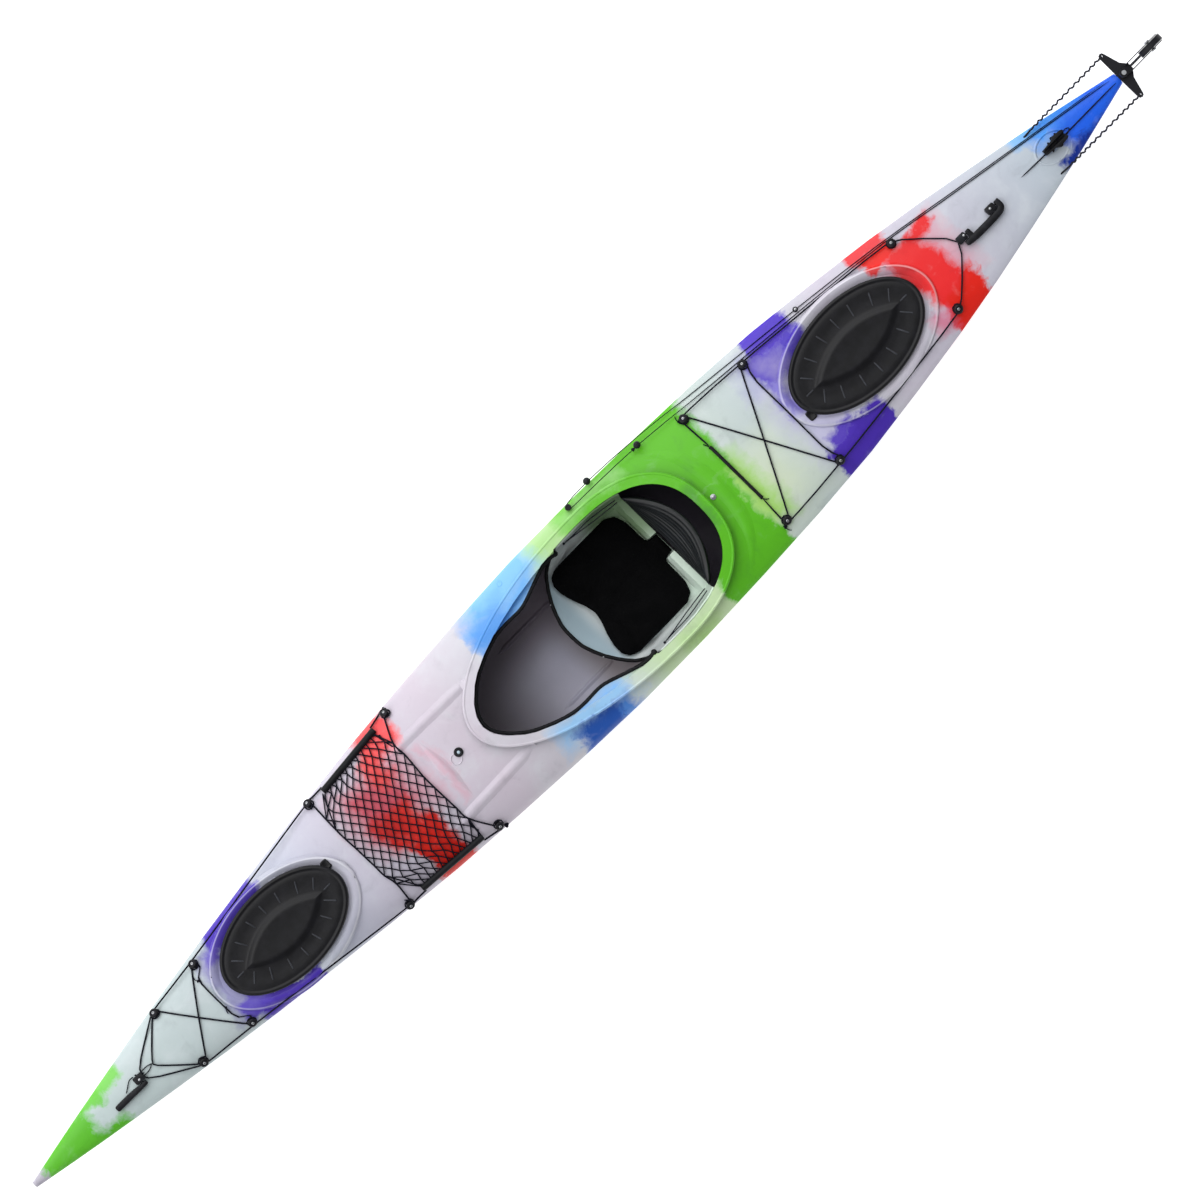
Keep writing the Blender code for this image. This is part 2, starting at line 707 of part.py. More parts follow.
class Deck:
    """The finished hull, asked for heights and directions of its upper surface."""

    def __init__(self, hull):
        mesh = hull.data
        mesh.calc_loop_triangles()
        corners = [v.co.copy() for v in mesh.vertices]
        faces = [tuple(t.vertices) for t in mesh.loop_triangles]
        self.tree = BVHTree.FromPolygons(corners, faces)

    def top(self, x, y):
        hit = self.tree.ray_cast(Vector((x, y, 1.0)), Vector((0, 0, -1)))[0]
        return hit.z if hit is not None else 0.0

    def rest(self, x, y, radius):
        """Lowest centre height at which a ball clears the surface, however it slopes."""
        reach = radius + CORD_CLEARANCE
        height = self.top(x, y) + reach
        for part in (0.45, 0.80):
            for k in range(8):
                angle = math.pi * k / 4
                there = self.top(x + part * reach * math.cos(angle), y + part * reach * math.sin(angle))
                height = max(height, there + reach * math.sqrt(1 - part * part))
        return height

    def point(self, x, y, lift=0.0):
        return Vector((x, y, self.top(x, y) + lift))

    def frame(self, x, y, reach=0.010):
        """Frame standing on the surface, with Z along its mean normal and X towards the bow."""
        along = self.point(x + reach, y) - self.point(x - reach, y)
        across = self.point(x, y + reach) - self.point(x, y - reach)
        up = along.cross(across).normalized()
        fore = along.normalized()
        side = up.cross(fore).normalized()
        turn = Matrix((fore, side, up)).transposed().to_4x4()
        return Matrix.Translation(self.point(x, y)) @ turn

    def taut(self, route, radius):
        """Route of a cord pulled tight through points, lying over the surface wherever it would cut through it."""
        out = [Vector(route[0])]
        for start, end in zip(route, route[1:]):
            start = Vector(start)
            end = Vector(end)
            count = max(1, int((end - start).length / LAY_STEP))
            line = [start]
            for k in range(1, count):
                p = start.lerp(end, k / count)
                p.z = self.rest(p.x, p.y, radius)
                line.append(p)
            line.append(end)
            out += upper_hull(line)[1:]
        return thinned(out)


def upper_hull(line):
    """Points of a plan-straight line that a string pulled tight over them would touch."""
    start = line[0].to_2d()
    kept = []
    for p in line:
        place = (p.to_2d() - start).length
        while len(kept) > 1:
            (a, za), (b, zb) = kept[-2][0], kept[-1][0]
            if (zb - za) * (place - a) <= (p.z - za) * (b - a):
                kept.pop()
            else:
                break
        kept.append(((place, p.z), p))
    return [p for _, p in kept]


def thinned(route):
    """Route without the points that lie close together or nearly on a line with their neighbours."""
    kept = [route[0]]
    for k in range(1, len(route) - 1):
        before = route[k] - kept[-1]
        after = route[k + 1] - route[k]
        turn = before.angle(after) if before.length > 1e-6 and after.length > 1e-6 else 0.0
        if before.length > 0.004 and (turn > 0.02 or before.length > 0.30):
            kept.append(route[k])
    kept.append(route[-1])
    return kept


def side_name(sign):
    return "port" if sign > 0 else "starboard"


def guide_places():
    """Name, x and y of each line guide on the port side."""
    places = [(name, from_stern(x), inset) for name, x, inset in STERN_GUIDES]
    places += list(COCKPIT_GUIDES)
    places += [(name, from_bow(x), inset) for name, x, inset in BOW_GUIDES]
    return [(name, x, half_beam(x) - inset) for name, x, inset in places]


def make_guides(deck, envelope):
    """Round guides screwed to the deck, in pairs, with a waist that the cords run round."""
    frames = {}
    waist_top = GUIDE_BASE + GUIDE_WAIST_HEIGHT
    cap_top = waist_top + GUIDE_CAP
    profile = ((0, -0.004), (GUIDE_BASE_RADIUS, -0.004), (GUIDE_BASE_RADIUS, GUIDE_BASE), (GUIDE_WAIST, GUIDE_BASE),
               (GUIDE_WAIST, waist_top), (GUIDE_RADIUS, waist_top), (GUIDE_RADIUS - 0.003, cap_top), (0, cap_top))
    for name, x, y in guide_places():
        for sign in (1, -1):
            frame = deck.frame(x, sign * y)
            frames[name, sign] = frame
            made = turned(f"line_guide_{name}_{side_name(sign)}", profile, 10, black_plastic(), frame)
            combine(made, envelope, "DIFFERENCE", keep_other=True)
    return frames


def round_guide(frame, before, after, level, side=0, radius=LINE_RADIUS):
    """Cord points round a guide's waist, from the tangent towards before to the tangent towards after."""
    inverse = frame.inverted()
    source = inverse @ Vector(before)
    goal = inverse @ Vector(after)
    first = math.atan2(source.y, source.x)
    last = math.atan2(goal.y, goal.x)
    between = (last - first + math.pi) % (2 * math.pi) - math.pi
    if side and math.pi - abs(between) < 0.35:
        start, sweep = side * math.pi / 2, 0.0
    elif between > 0:
        start, sweep = first - math.pi / 2, between - math.pi
    else:
        start, sweep = first + math.pi / 2, between + math.pi
    parts = math.ceil(abs(sweep) / 0.85) if abs(sweep) > 0.25 else 0
    if parts == 0:
        start, sweep = start + sweep / 2, 0.0
    reach = (GUIDE_WAIST + radius + WRAP_GAP) / math.cos(abs(sweep) / max(parts, 1) / 2)
    points = []
    for k in range(parts + 1):
        angle = start + sweep * k / max(parts, 1)
        points.append(frame @ Vector((reach * math.cos(angle), reach * math.sin(angle), level)))
    return points


# Deck outfit

def perimeter_line(name, deck, guides, stops, mount):
    """Line from the first guide on the port side, through a mount amidships, to the first on the starboard side."""
    route = []
    for sign in (1, -1):
        half = []
        frames = [guides[stop, sign] for stop in stops]
        away = (frames[0].translation - frames[1].translation).normalized()
        inboard = Vector((0, -sign, 0))
        tail_goal = frames[0].translation + (inboard - away) * 0.1
        before = tail_goal
        for k, frame in enumerate(frames):
            after = frames[k + 1].translation if k + 1 < len(frames) else mount
            bend = round_guide(frame, before, after, HIGH_LEVEL, sign)
            if k == 0:
                half.append(bend[0] + (tail_goal - frame.translation).normalized() * TAIL_LENGTH)
            half += bend
            before = frame.translation
        half.append(mount + Vector((0, sign * (HANDLE_MOUNT[1] + 0.004), 0)))
        if sign > 0:
            route += half
            route.append(mount)
        else:
            route += half[::-1]
    cord(name, deck.taut(route, LINE_RADIUS), LINE_RADIUS, black_cord())


def crossed_cord(name, deck, guides, aft, fore, front):
    """Elastic cord round four guides, crossing itself between them, with its fore strand through given points."""
    def corner(stop, sign, before, after):
        return round_guide(guides[stop, sign], before, after, LOW_LEVEL)

    aft_port, aft_star = (guides[aft, sign].translation for sign in (1, -1))
    fore_port, fore_star = (guides[fore, sign].translation for sign in (1, -1))
    crossing = (fore_port + aft_star) / 2
    crossing.z = deck.rest(crossing.x, crossing.y, LINE_RADIUS) + 2 * LINE_RADIUS + CROSSING_GAP
    route = [front[-1]] + corner(fore, 1, front[-1], aft_star) + [crossing]
    route += corner(aft, -1, fore_port, aft_port) + corner(aft, 1, aft_star, fore_star)
    route += corner(fore, -1, aft_port, front[0]) + list(front[:-1] if len(front) > 2 else front[:1])
    closed = len(front) > 2
    if closed:
        route.append(front[-1])
    line = deck.taut(route, LINE_RADIUS)
    cord(name, line[:-1] if closed else line, LINE_RADIUS, black_cord(), closed)


def make_cords(deck, guides):
    mount = deck.point(from_stern(STERN_HANDLE_FORE), 0, MOUNT_LINE_HEIGHT) + Vector((MOUNT_LINE_OFFSET, 0, 0))
    perimeter_line("deck_line_stern", deck, guides, ("bungee_fore", "bungee_aft", "aft"), mount)
    mount = deck.point(from_bow(BOW_HANDLE_FROM_BOW), 0, MOUNT_LINE_HEIGHT) - Vector((MOUNT_LINE_OFFSET, 0, 0))
    perimeter_line("deck_line_bow", deck, guides, ("net_fore", "bow_aft", "bow_fore"), mount)
    stops = [guides["bungee_fore", sign].translation for sign in (1, -1)]
    x = stops[0].x + RUBBER_SLEEVE_FORWARD
    ends = []
    for y in RUBBER_SLEEVE_ENDS:
        ends.append(Vector((x, y, deck.rest(x, y, RUBBER_SLEEVE_RADIUS))))
    cord("bungee_sleeve", deck.taut(ends[::-1], RUBBER_SLEEVE_RADIUS), RUBBER_SLEEVE_RADIUS, black_rubber())
    apart = (ends[1] - ends[0]).normalized() * SLEEVE_FACE_GAP
    crossed_cord("bungee_rear", deck, guides, "bungee_aft", "bungee_fore", (ends[0] - apart, ends[1] + apart))
    tip = deck.point(guides["bow_fore", 1].translation.x + BUNGEE_TIP_FORWARD, 0)
    tip.z = deck.rest(tip.x, 0, LINE_RADIUS) + 0.002
    side = Vector((0, 0.004, 0))
    crossed_cord("bungee_bow", deck, guides, "bow_aft", "bow_fore", (tip - side, tip, tip + side))


def net_side_y(x, guides, sign):
    """Line between the two guides at a side of the net."""
    aft = guides["net_aft", sign].translation
    fore = guides["net_fore", sign].translation
    return aft.y + (fore.y - aft.y) * (x - aft.x) / (fore.x - aft.x)


def net_edge_y(x, guides, sign):
    """Side edge of the net, just inside its sleeve."""
    return net_side_y(x, guides, sign) - sign * (SLEEVE_RADIUS + NET_STRAND / 2 + 0.0025)


def make_net(deck, guides):
    """Diamond net over the foredeck, tied to four guides, and the sleeves along its sides."""
    aft_x = guides["net_aft", 1].translation.x + 0.045
    fore_x = guides["net_fore", 1].translation.x - 0.012
    build = bmesh.new()
    places = {}

    def vertex(column, row):
        key = (column, row)
        if key not in places:
            t = column / (2 * NET_COLUMNS)
            across = row / (2 * NET_ROWS)
            bow_in = 0.010 * (1 - (2 * across - 1) ** 2)
            x = aft_x + bow_in + (fore_x - aft_x - 2 * bow_in) * t
            port = net_edge_y(x, guides, 1)
            starboard = net_edge_y(x, guides, -1)
            y = starboard + (port - starboard) * across
            places[key] = build.verts.new(deck.point(x, y, NET_LIFT))
        return places[key]

    columns, rows = 2 * NET_COLUMNS, 2 * NET_ROWS
    for column in range(0, columns + 1):
        for row in range(0, rows + 1):
            if (column + row) % 2:
                corners = [(column - 1, row), (column, row - 1), (column + 1, row), (column, row + 1)]
                inside = [c for c in corners if 0 <= c[0] <= columns and 0 <= c[1] <= rows]
                if len(inside) >= 3:
                    build.faces.new([vertex(*c) for c in inside])
    for end, name, reach in ((0, "net_aft", 0.015), (columns, "net_fore", -0.015)):
        for row, sign in ((0, -1), (rows, 1)):
            tie = guides[name, sign].translation + Vector((reach, -sign * 0.009, 0))
            tie = deck.point(tie.x, tie.y, NET_LIFT + 0.002)
            step = 2 if row == 0 else -2
            build.faces.new([build.verts.new(tie), vertex(end, row), vertex(end, row + step)])
    bmesh.ops.recalc_face_normals(build, faces=build.faces)
    mesh = bpy.data.meshes.new("foredeck_net")
    build.to_mesh(mesh)
    build.free()
    net = finished("foredeck_net", mesh, black_cord())
    strands = net.modifiers.new("strands", "WIREFRAME")
    strands.thickness = NET_STRAND
    strands.use_even_offset = False
    strands.use_boundary = True
    strands.use_replace = True
    for sign in (1, -1):
        route = []
        start = guides["net_aft", sign].translation.x + SLEEVE_FROM_GUIDE
        end = guides["net_fore", sign].translation.x - SLEEVE_FROM_GUIDE
        for k in range(4):
            x = start + (end - start) * k / 3
            y = net_side_y(x, guides, sign)
            route.append(Vector((x, y, deck.rest(x, y, SLEEVE_RADIUS))))
        cord(f"net_sleeve_{side_name(sign)}", deck.taut(route, SLEEVE_RADIUS), SLEEVE_RADIUS, black_rubber())


def make_handles(deck, envelope):
    """Rigid carry grips that swing on their deck mounts."""
    plastic = black_plastic()
    length, half_width, height = HANDLE_MOUNT
    outline = ((-length, -0.6 * half_width), (-0.8 * length, -half_width), (0.8 * length, -half_width),
               (length, -0.6 * half_width), (length, 0.6 * half_width), (0.8 * length, half_width),
               (-0.8 * length, half_width), (-length, 0.6 * half_width))
    bore = HANDLE_AXLE_RADIUS + 0.0005

    def mount(name, x, axle_along, line_side):
        centre = deck.point(x, 0)
        made = prism(name, outline, -0.004, height, plastic, Matrix.Translation(centre))
        combine(made, envelope, "DIFFERENCE", keep_other=True)
        axis = centre + Vector((0, 0, HANDLE_AXIS_HEIGHT))
        drill(made, axis, axle_along, bore, 12)
        if line_side:
            line = centre + Vector((line_side * MOUNT_LINE_OFFSET, 0, MOUNT_LINE_HEIGHT))
            drill(made, line, (0, 1, 0), LINE_RADIUS + 0.0006, 12)
        return axis

    aft = mount("handle_mount_stern_aft", from_stern(STERN_HANDLE_AFT), (1, 0, 0), 0)
    fore = mount("handle_mount_stern_fore", from_stern(STERN_HANDLE_FORE), (1, 0, 0), 1)
    along = (fore - aft).normalized()
    start = aft - along * 0.030
    end = fore - along * (length + HANDLE_RADIUS + 0.003)
    out = Vector((0, HANDLE_REACH, -0.002))
    span = end - start
    shape = ((0.0, 0.0), (-0.02, 0.45), (0.06, 0.88), (0.24, 1.0), (0.52, 0.97), (0.78, 0.76), (0.95, 0.42), (1.0, 0.0))
    grip = tube("carry_handle_stern", [start + span * s + out * u for s, u in shape], HANDLE_RADIUS, plastic)
    axle = rod("axle", start - along * 0.004, fore + along * (length + 0.004), HANDLE_AXLE_RADIUS, plastic, 12)
    combine(grip, axle, "UNION")
    set_origin(grip, aft)

    axis = mount("handle_mount_bow", from_bow(BOW_HANDLE_FROM_BOW), (0, 1, 0), -1)
    side = half_width + HANDLE_RADIUS + 0.001
    route = []
    for along, across in ((-0.003, 0), (0.016, 0), (0.045, 0.006), (0.078, 0.007), (0.100, 0.003), (0.112, -0.004)):
        p = axis + Vector((along, side + across, 0))
        p.z = max(p.z - 0.08 * along, deck.rest(p.x, p.y, HANDLE_RADIUS) + 0.001)
        route.append(p)
    grip = tube("carry_handle_bow", route, HANDLE_RADIUS, plastic)
    axle = rod("axle", axis + Vector((0, side, 0)), axis - Vector((0, half_width + 0.004, 0)), HANDLE_AXLE_RADIUS,
               plastic, 12)
    combine(grip, axle, "UNION")
    set_origin(grip, axis)


def make_hatches():
    """Rubber covers, each with its origin on the collar it lifts from."""
    rear = from_stern(REAR_HATCH_FROM_STERN)
    front = from_bow(FRONT_HATCH_FROM_BOW)
    for name, x, cover, turn in (("hatch_cover_rear", rear, REAR_COVER, 0.0),
                                 ("hatch_cover_front", front, FRONT_COVER, math.pi)):
        made = hatch_cover(name, x, cover, turn, black_rubber())
        set_origin(made, hatch_frame(x, cover).translation)


def make_vent_plug(deck):
    centre = deck.point(VENT_X - VENT_FLANGE_RADIUS, 0)
    top = max(centre.z, deck.point(VENT_X + VENT_FLANGE_RADIUS, 0).z) + 0.0006
    profile = ((0, -0.016), (VENT_RADIUS - 0.0005, -0.016), (VENT_RADIUS - 0.0003, 0), (VENT_FLANGE_RADIUS, 0),
               (VENT_FLANGE_RADIUS, 0.0025), (VENT_FLANGE_RADIUS - 0.004, 0.0045), (0, 0.0045))
    plug = turned("vent_plug", profile, 20, black_plastic(), Matrix.Translation((VENT_X, 0, top)))
    set_origin(plug, (VENT_X, 0, top))


# Cockpit

def seat_floor_z():
    return SHEER_HEIGHT - SEAT_DEPTH


def seat_width():
    """Width of the seat as a share of that of its drawn section."""
    return (COAMING_HALF_WIDTH - COAMING_LIP - SEAT_EDGE_GAP) / SEAT_SIDE[-1][0]


def seat_front_x(y):
    reach = SEAT_SIDE[-1][0]
    return SEAT_SIDE_FRONT_X + SEAT_FRONT_REACH * math.sqrt(max(0.0, 1 - (y / reach) ** 2))


def seat_grid():
    """Rows of points over the lower surface of the seat, from its back edge to its front edge."""
    half = list(SEAT_FLOOR) + list(SEAT_SIDE)
    across = [(-y, z) for y, z in reversed(half[1:])] + half
    ridge_top, ridge_foot = SEAT_RIDGE
    lip_start, lip_middle, lip_rise, lip_top = SEAT_LIP
    rows = []
    for row in range(7):
        points = []
        for y, side in across:
            front = seat_front_x(y)
            floor_end = front - lip_start
            x, rise = ((SEAT_BACK_X, SEAT_RIDGE_HEIGHT), (SEAT_BACK_X + ridge_top, SEAT_RIDGE_HEIGHT),
                       (SEAT_BACK_X + ridge_foot, 0.0), ((SEAT_BACK_X + ridge_foot + floor_end) / 2, 0.0),
                       (floor_end, 0.0), (front - lip_middle, lip_rise), (front, lip_top))[row]
            if row < 2 and abs(y) < SEAT_RIDGE_START_Y:
                rise = 0.0
            wall = (coaming_wall_y(x) - SEAT_EDGE_GAP) / SEAT_SIDE[-1][0]
            points.append(Vector((x, y * wall, seat_floor_z() + max(rise, side))))
        rows.append(points)
    return rows


def grid_normals(rows):
    """Mean upward normal at each point of a grid."""
    tall, wide = len(rows), len(rows[0])
    normals = []
    for i in range(tall):
        line = []
        for j in range(wide):
            total = Vector((0, 0, 0))
            for a, b in ((1, 1), (-1, 1), (-1, -1), (1, -1)):
                if 0 <= i + a < tall and 0 <= j + b < wide:
                    along = (rows[i + a][j] - rows[i][j]) * a
                    across = (rows[i][j + b] - rows[i][j]) * b
                    total += along.cross(across).normalized()
            line.append(total.normalized())
        normals.append(line)
    return normals


def sheet_between(name, low, high, finish, smooth_angle=35.0):
    """Closed solid between two equal grids of points."""
    tall, wide = len(low), len(low[0])
    points = [p for row in low for p in row] + [p for row in high for p in row]
    shift = tall * wide
    faces = []
    for i in range(tall - 1):
        for j in range(wide - 1):
            a = i * wide + j
            faces.append((a, a + 1, a + wide + 1, a + wide))
            faces.append((shift + a, shift + a + wide, shift + a + wide + 1, shift + a + 1))
    edge = [j for j in range(wide)]
    edge += [i * wide + wide - 1 for i in range(1, tall)]
    edge += [(tall - 1) * wide + j for j in range(wide - 2, -1, -1)]
    edge += [i * wide for i in range(tall - 2, 0, -1)]
    for k, a in enumerate(edge):
        b = edge[(k + 1) % len(edge)]
        faces.append((a, b, shift + b, shift + a))
    return mesh_object(name, points, faces, finish, smooth_angle)


def clear_of_edge(low, high, k, part, reach):
    """Place beyond the front edge of the seat, square to it and in line with its surface."""
    a, b = low[-1][k], low[-1][k + 1]
    if part == 0.0:
        edge = (low[-1][k + 1] - low[-1][k - 1]).normalized()
    else:
        edge = (b - a).normalized()
    along = (a - low[-2][k]).normalized()
    square = (along - edge * along.dot(edge)).normalized()
    middle = (a.lerp(b, part) + high[-1][k].lerp(high[-1][k + 1], part)) / 2
    return middle + square * reach


def make_seat():
    """Moulded seat with its foam pad, and the rubber trim round the leg opening."""
    low = seat_grid()
    normals = grid_normals(low)
    high = [[p + n * SEAT_WALL for p, n in zip(*pair)] for pair in zip(low, normals)]
    for row in high:
        for p, q in ((row[0], row[1]), (row[-1], row[-2])):
            p.z = seat_floor_z() + SEAT_SIDE[-1][1]
    pan = sheet_between("seat_pan", low, high, seat_plastic())

    pan.data.calc_loop_triangles()
    corners = [v.co.copy() for v in pan.data.vertices]
    tree = BVHTree.FromPolygons(corners, [tuple(t.vertices) for t in pan.data.loop_triangles])

    def floor(x, y):
        return tree.ray_cast(Vector((x, y, 0.5)), Vector((0, 0, -1)))[0].z + PAD_GAP

    outline = list(PAD_OUTLINE) + [(x, -y) for x, y in reversed(PAD_OUTLINE[1:-1])]
    centre = (SEAT_BACK_X + seat_front_x(0)) / 2 - 0.03
    thick = PAD_THICKNESS
    levels = ((0.15, 0.0), (0.60, 0.0), (0.90, 0.0), (0.985, 0.0015), (1.0, 0.006), (1.0, thick - 0.006),
              (0.955, thick), (0.60, thick + PAD_CROWN), (0.15, thick + 0.8 * PAD_CROWN))
    rings = []
    for scale, rise in levels:
        ring = []
        for x, y in outline:
            px, py = centre + (x - centre) * scale, y * scale * seat_width()
            ring.append((px, py, floor(px, py) + rise))
        rings.append(ring)
    lofted("seat_pad", rings, black_foam(), 50.0)

    reach = TRIM_RADIUS + TRIM_GAP
    over_seat = []
    count = len(low[-1])
    for k in range(1, count - 1):
        over_seat.append(clear_of_edge(low, high, k, 0.0, reach + 0.0008))
    over_seat.append(clear_of_edge(low, high, count - 2, 0.68, reach + 0.0008))
    over_seat.append(over_seat[-1] + Vector((0.003, -0.009, 0.004)))
    for p in over_seat[-2:]:
        over_seat.insert(0, Vector((p.x, -p.y, p.z)))
    edge = leg_edge()
    port = []
    for k, (x, y) in enumerate(edge):
        ax, ay = edge[max(k - 1, 0)]
        bx, by = edge[k + 1] if k + 1 < len(edge) else (edge[k - 1][0], -edge[k - 1][1])
        size = math.hypot(bx - ax, by - ay)
        px = x + (by - ay) * reach / size
        py = y - (bx - ax) * reach / size
        port.append(Vector((px, py, deck_z(px, py) - HULL_WALL / 2)))
    starboard = [Vector((p.x, -p.y, p.z)) for p in reversed(port[:-1])]
    cord("leg_opening_trim", port + starboard + over_seat, TRIM_RADIUS, black_rubber(), closed=True)


def make_backrest():
    """Curved, ribbed backrest that folds forward, with its two side straps."""
    columns, rows = 8, 2 * BACKREST_RIBS
    axis_x, axis_z = BACKREST_AXIS
    foot = seat_floor_z()
    middle = []
    for i in range(rows + 1):
        up = i / rows
        line = []
        for j in range(columns + 1):
            s = 1 - 2 * j / columns
            top_x = BACKREST_TOP[0] + BACKREST_END_FORWARD * s * s
            top_z = BACKREST_TOP[1] - BACKREST_END_LOWER * s * s
            line.append(Vector((axis_x + (top_x - axis_x) * up, BACKREST_HALF_WIDTH * seat_width() * s,
                                foot + axis_z + (top_z - axis_z) * up)))
        middle.append(line)
    normals = grid_normals(middle)
    front, back = [], []
    for i in range(rows + 1):
        taper = 0.75 if i in (0, rows) else 1.0
        depth = BACKREST_THICKNESS / 2 * taper
        rib = 0.0 if i % 2 == 0 else BACKREST_RIB_DEPTH
        faced = [n if n.x > 0 else -n for n in normals[i]]
        front.append([p + n * (depth + rib) for p, n in zip(middle[i], faced)])
        back.append([p - n * depth for p, n in zip(middle[i], faced)])
    made = sheet_between("backrest", back, front, black_foam(), 25.0)
    set_origin(made, (axis_x, 0, foot + axis_z))
    for sign in (1, -1):
        x, y, z = STRAP_START
        start = Vector((x, sign * y * seat_width(), foot + z))
        end_x, end_z = STRAP_ANCHOR
        side_y = coaming_wall_y(end_x) - SEAT_EDGE_GAP - SEAT_WALL - STRAP_RADIUS - 0.004
        end = Vector((end_x, sign * side_y, foot + end_z))
        middle_point = start.lerp(end, 0.5)
        cord(f"backrest_strap_{side_name(sign)}", [start, middle_point, end], STRAP_RADIUS, black_cord())


# Inside the hull

def rail_frame(sign):
    """Frame at the aft end of a footrest rail, with X along it and Y towards the hull side."""
    low = RAIL_Z - RAIL_HEIGHT / 2
    start_y = inner_half_width(RAIL_START_X, low) - 0.0015
    end_x = RAIL_START_X + RAIL_LENGTH
    end_y = inner_half_width(end_x, low) - 0.0015
    start = Vector((RAIL_START_X, sign * start_y, RAIL_Z))
    along = (Vector((end_x, sign * end_y, RAIL_Z)) - start).normalized()
    up = Vector((0, 0, 1))
    side = up.cross(along) * sign
    turn = Matrix((along, side, up)).transposed().to_4x4()
    return Matrix.Translation(start) @ turn


def make_footrests():
    """Rails along the inner sides of the hull, each with a sliding rudder pedal."""
    half = RAIL_HEIGHT / 2
    gap = 0.0005
    for sign in (1, -1):
        frame = rail_frame(sign)
        side = side_name(sign)
        block(f"footrest_rail_{side}", (0, -RAIL_THICKNESS, -half), (RAIL_LENGTH, 0, half), black_metal(), frame)
        start = PEDAL_FROM_RAIL_START
        inner = -RAIL_THICKNESS - gap
        wall = SLIDER_WALL
        pedal = block(f"rudder_pedal_{side}", (start, inner - wall, -half - gap - wall),
                      (start + SLIDER_LENGTH, inner, half + gap + wall), black_plastic(), frame)
        for low, high in ((-half - gap - wall, -half - gap), (half + gap, half + gap + wall)):
            hook = block("hook", (start + 0.002, inner - 0.001, low), (start + SLIDER_LENGTH - 0.002, -0.0040, high),
                         black_plastic(), frame)
            combine(pedal, hook, "UNION")
        thick, wide, low, high = PEDAL_PLATE
        plate = block("plate", (start + 0.005, inner - wall - wide, low),
                      (start + 0.005 + thick, inner - wall + 0.002, high), black_plastic(), frame)
        combine(pedal, plate, "UNION")
        set_origin(pedal, frame @ Vector((start, 0, 0)))


def conduit_route(sign):
    """Cable housing from the stern deck, along the inner side of the hull, to the footrest rail."""
    outer, inner = conduit_entry(sign)
    route = [outer, inner]
    end = rail_frame(sign) @ Vector((-0.003, -RAIL_THICKNESS / 2, 0))
    for x, rise in CONDUIT_RUN:
        z = SHEER_HEIGHT + rise
        y = inner_half_width(x, z - 0.01) - CONDUIT_INSET
        route.append(Vector((x, sign * y, z)))
    return route + [end]


def make_inside():
    """Foam bulkheads, and the housings that carry the steering cables through the hull."""
    for name, x in (("bulkhead_rear", REAR_BULKHEAD_X), ("bulkhead_front", FRONT_BULKHEAD_X)):
        made = hull_slice(name, HULL_WALL + DECK_GAP, x, x + BULKHEAD_THICKNESS, grey_foam())
        if x < 0:
            for sign in (1, -1):
                hole = tube("hole", conduit_route(sign)[3:8], CONDUIT_RADIUS + 0.0005, black_foam())
                combine(made, hole, "DIFFERENCE")
    for sign in (1, -1):
        cord(f"cable_conduit_{side_name(sign)}", conduit_route(sign), CONDUIT_RADIUS, black_plastic())


# Rudder

def pin_x():
    return -HULL_LENGTH / 2 - PIN_BEHIND_STERN


def bolt_x():
    return pin_x() - BOLT_BEHIND_PIN


def rudder_z(height):
    return sheer_z(-HULL_LENGTH / 2) + height


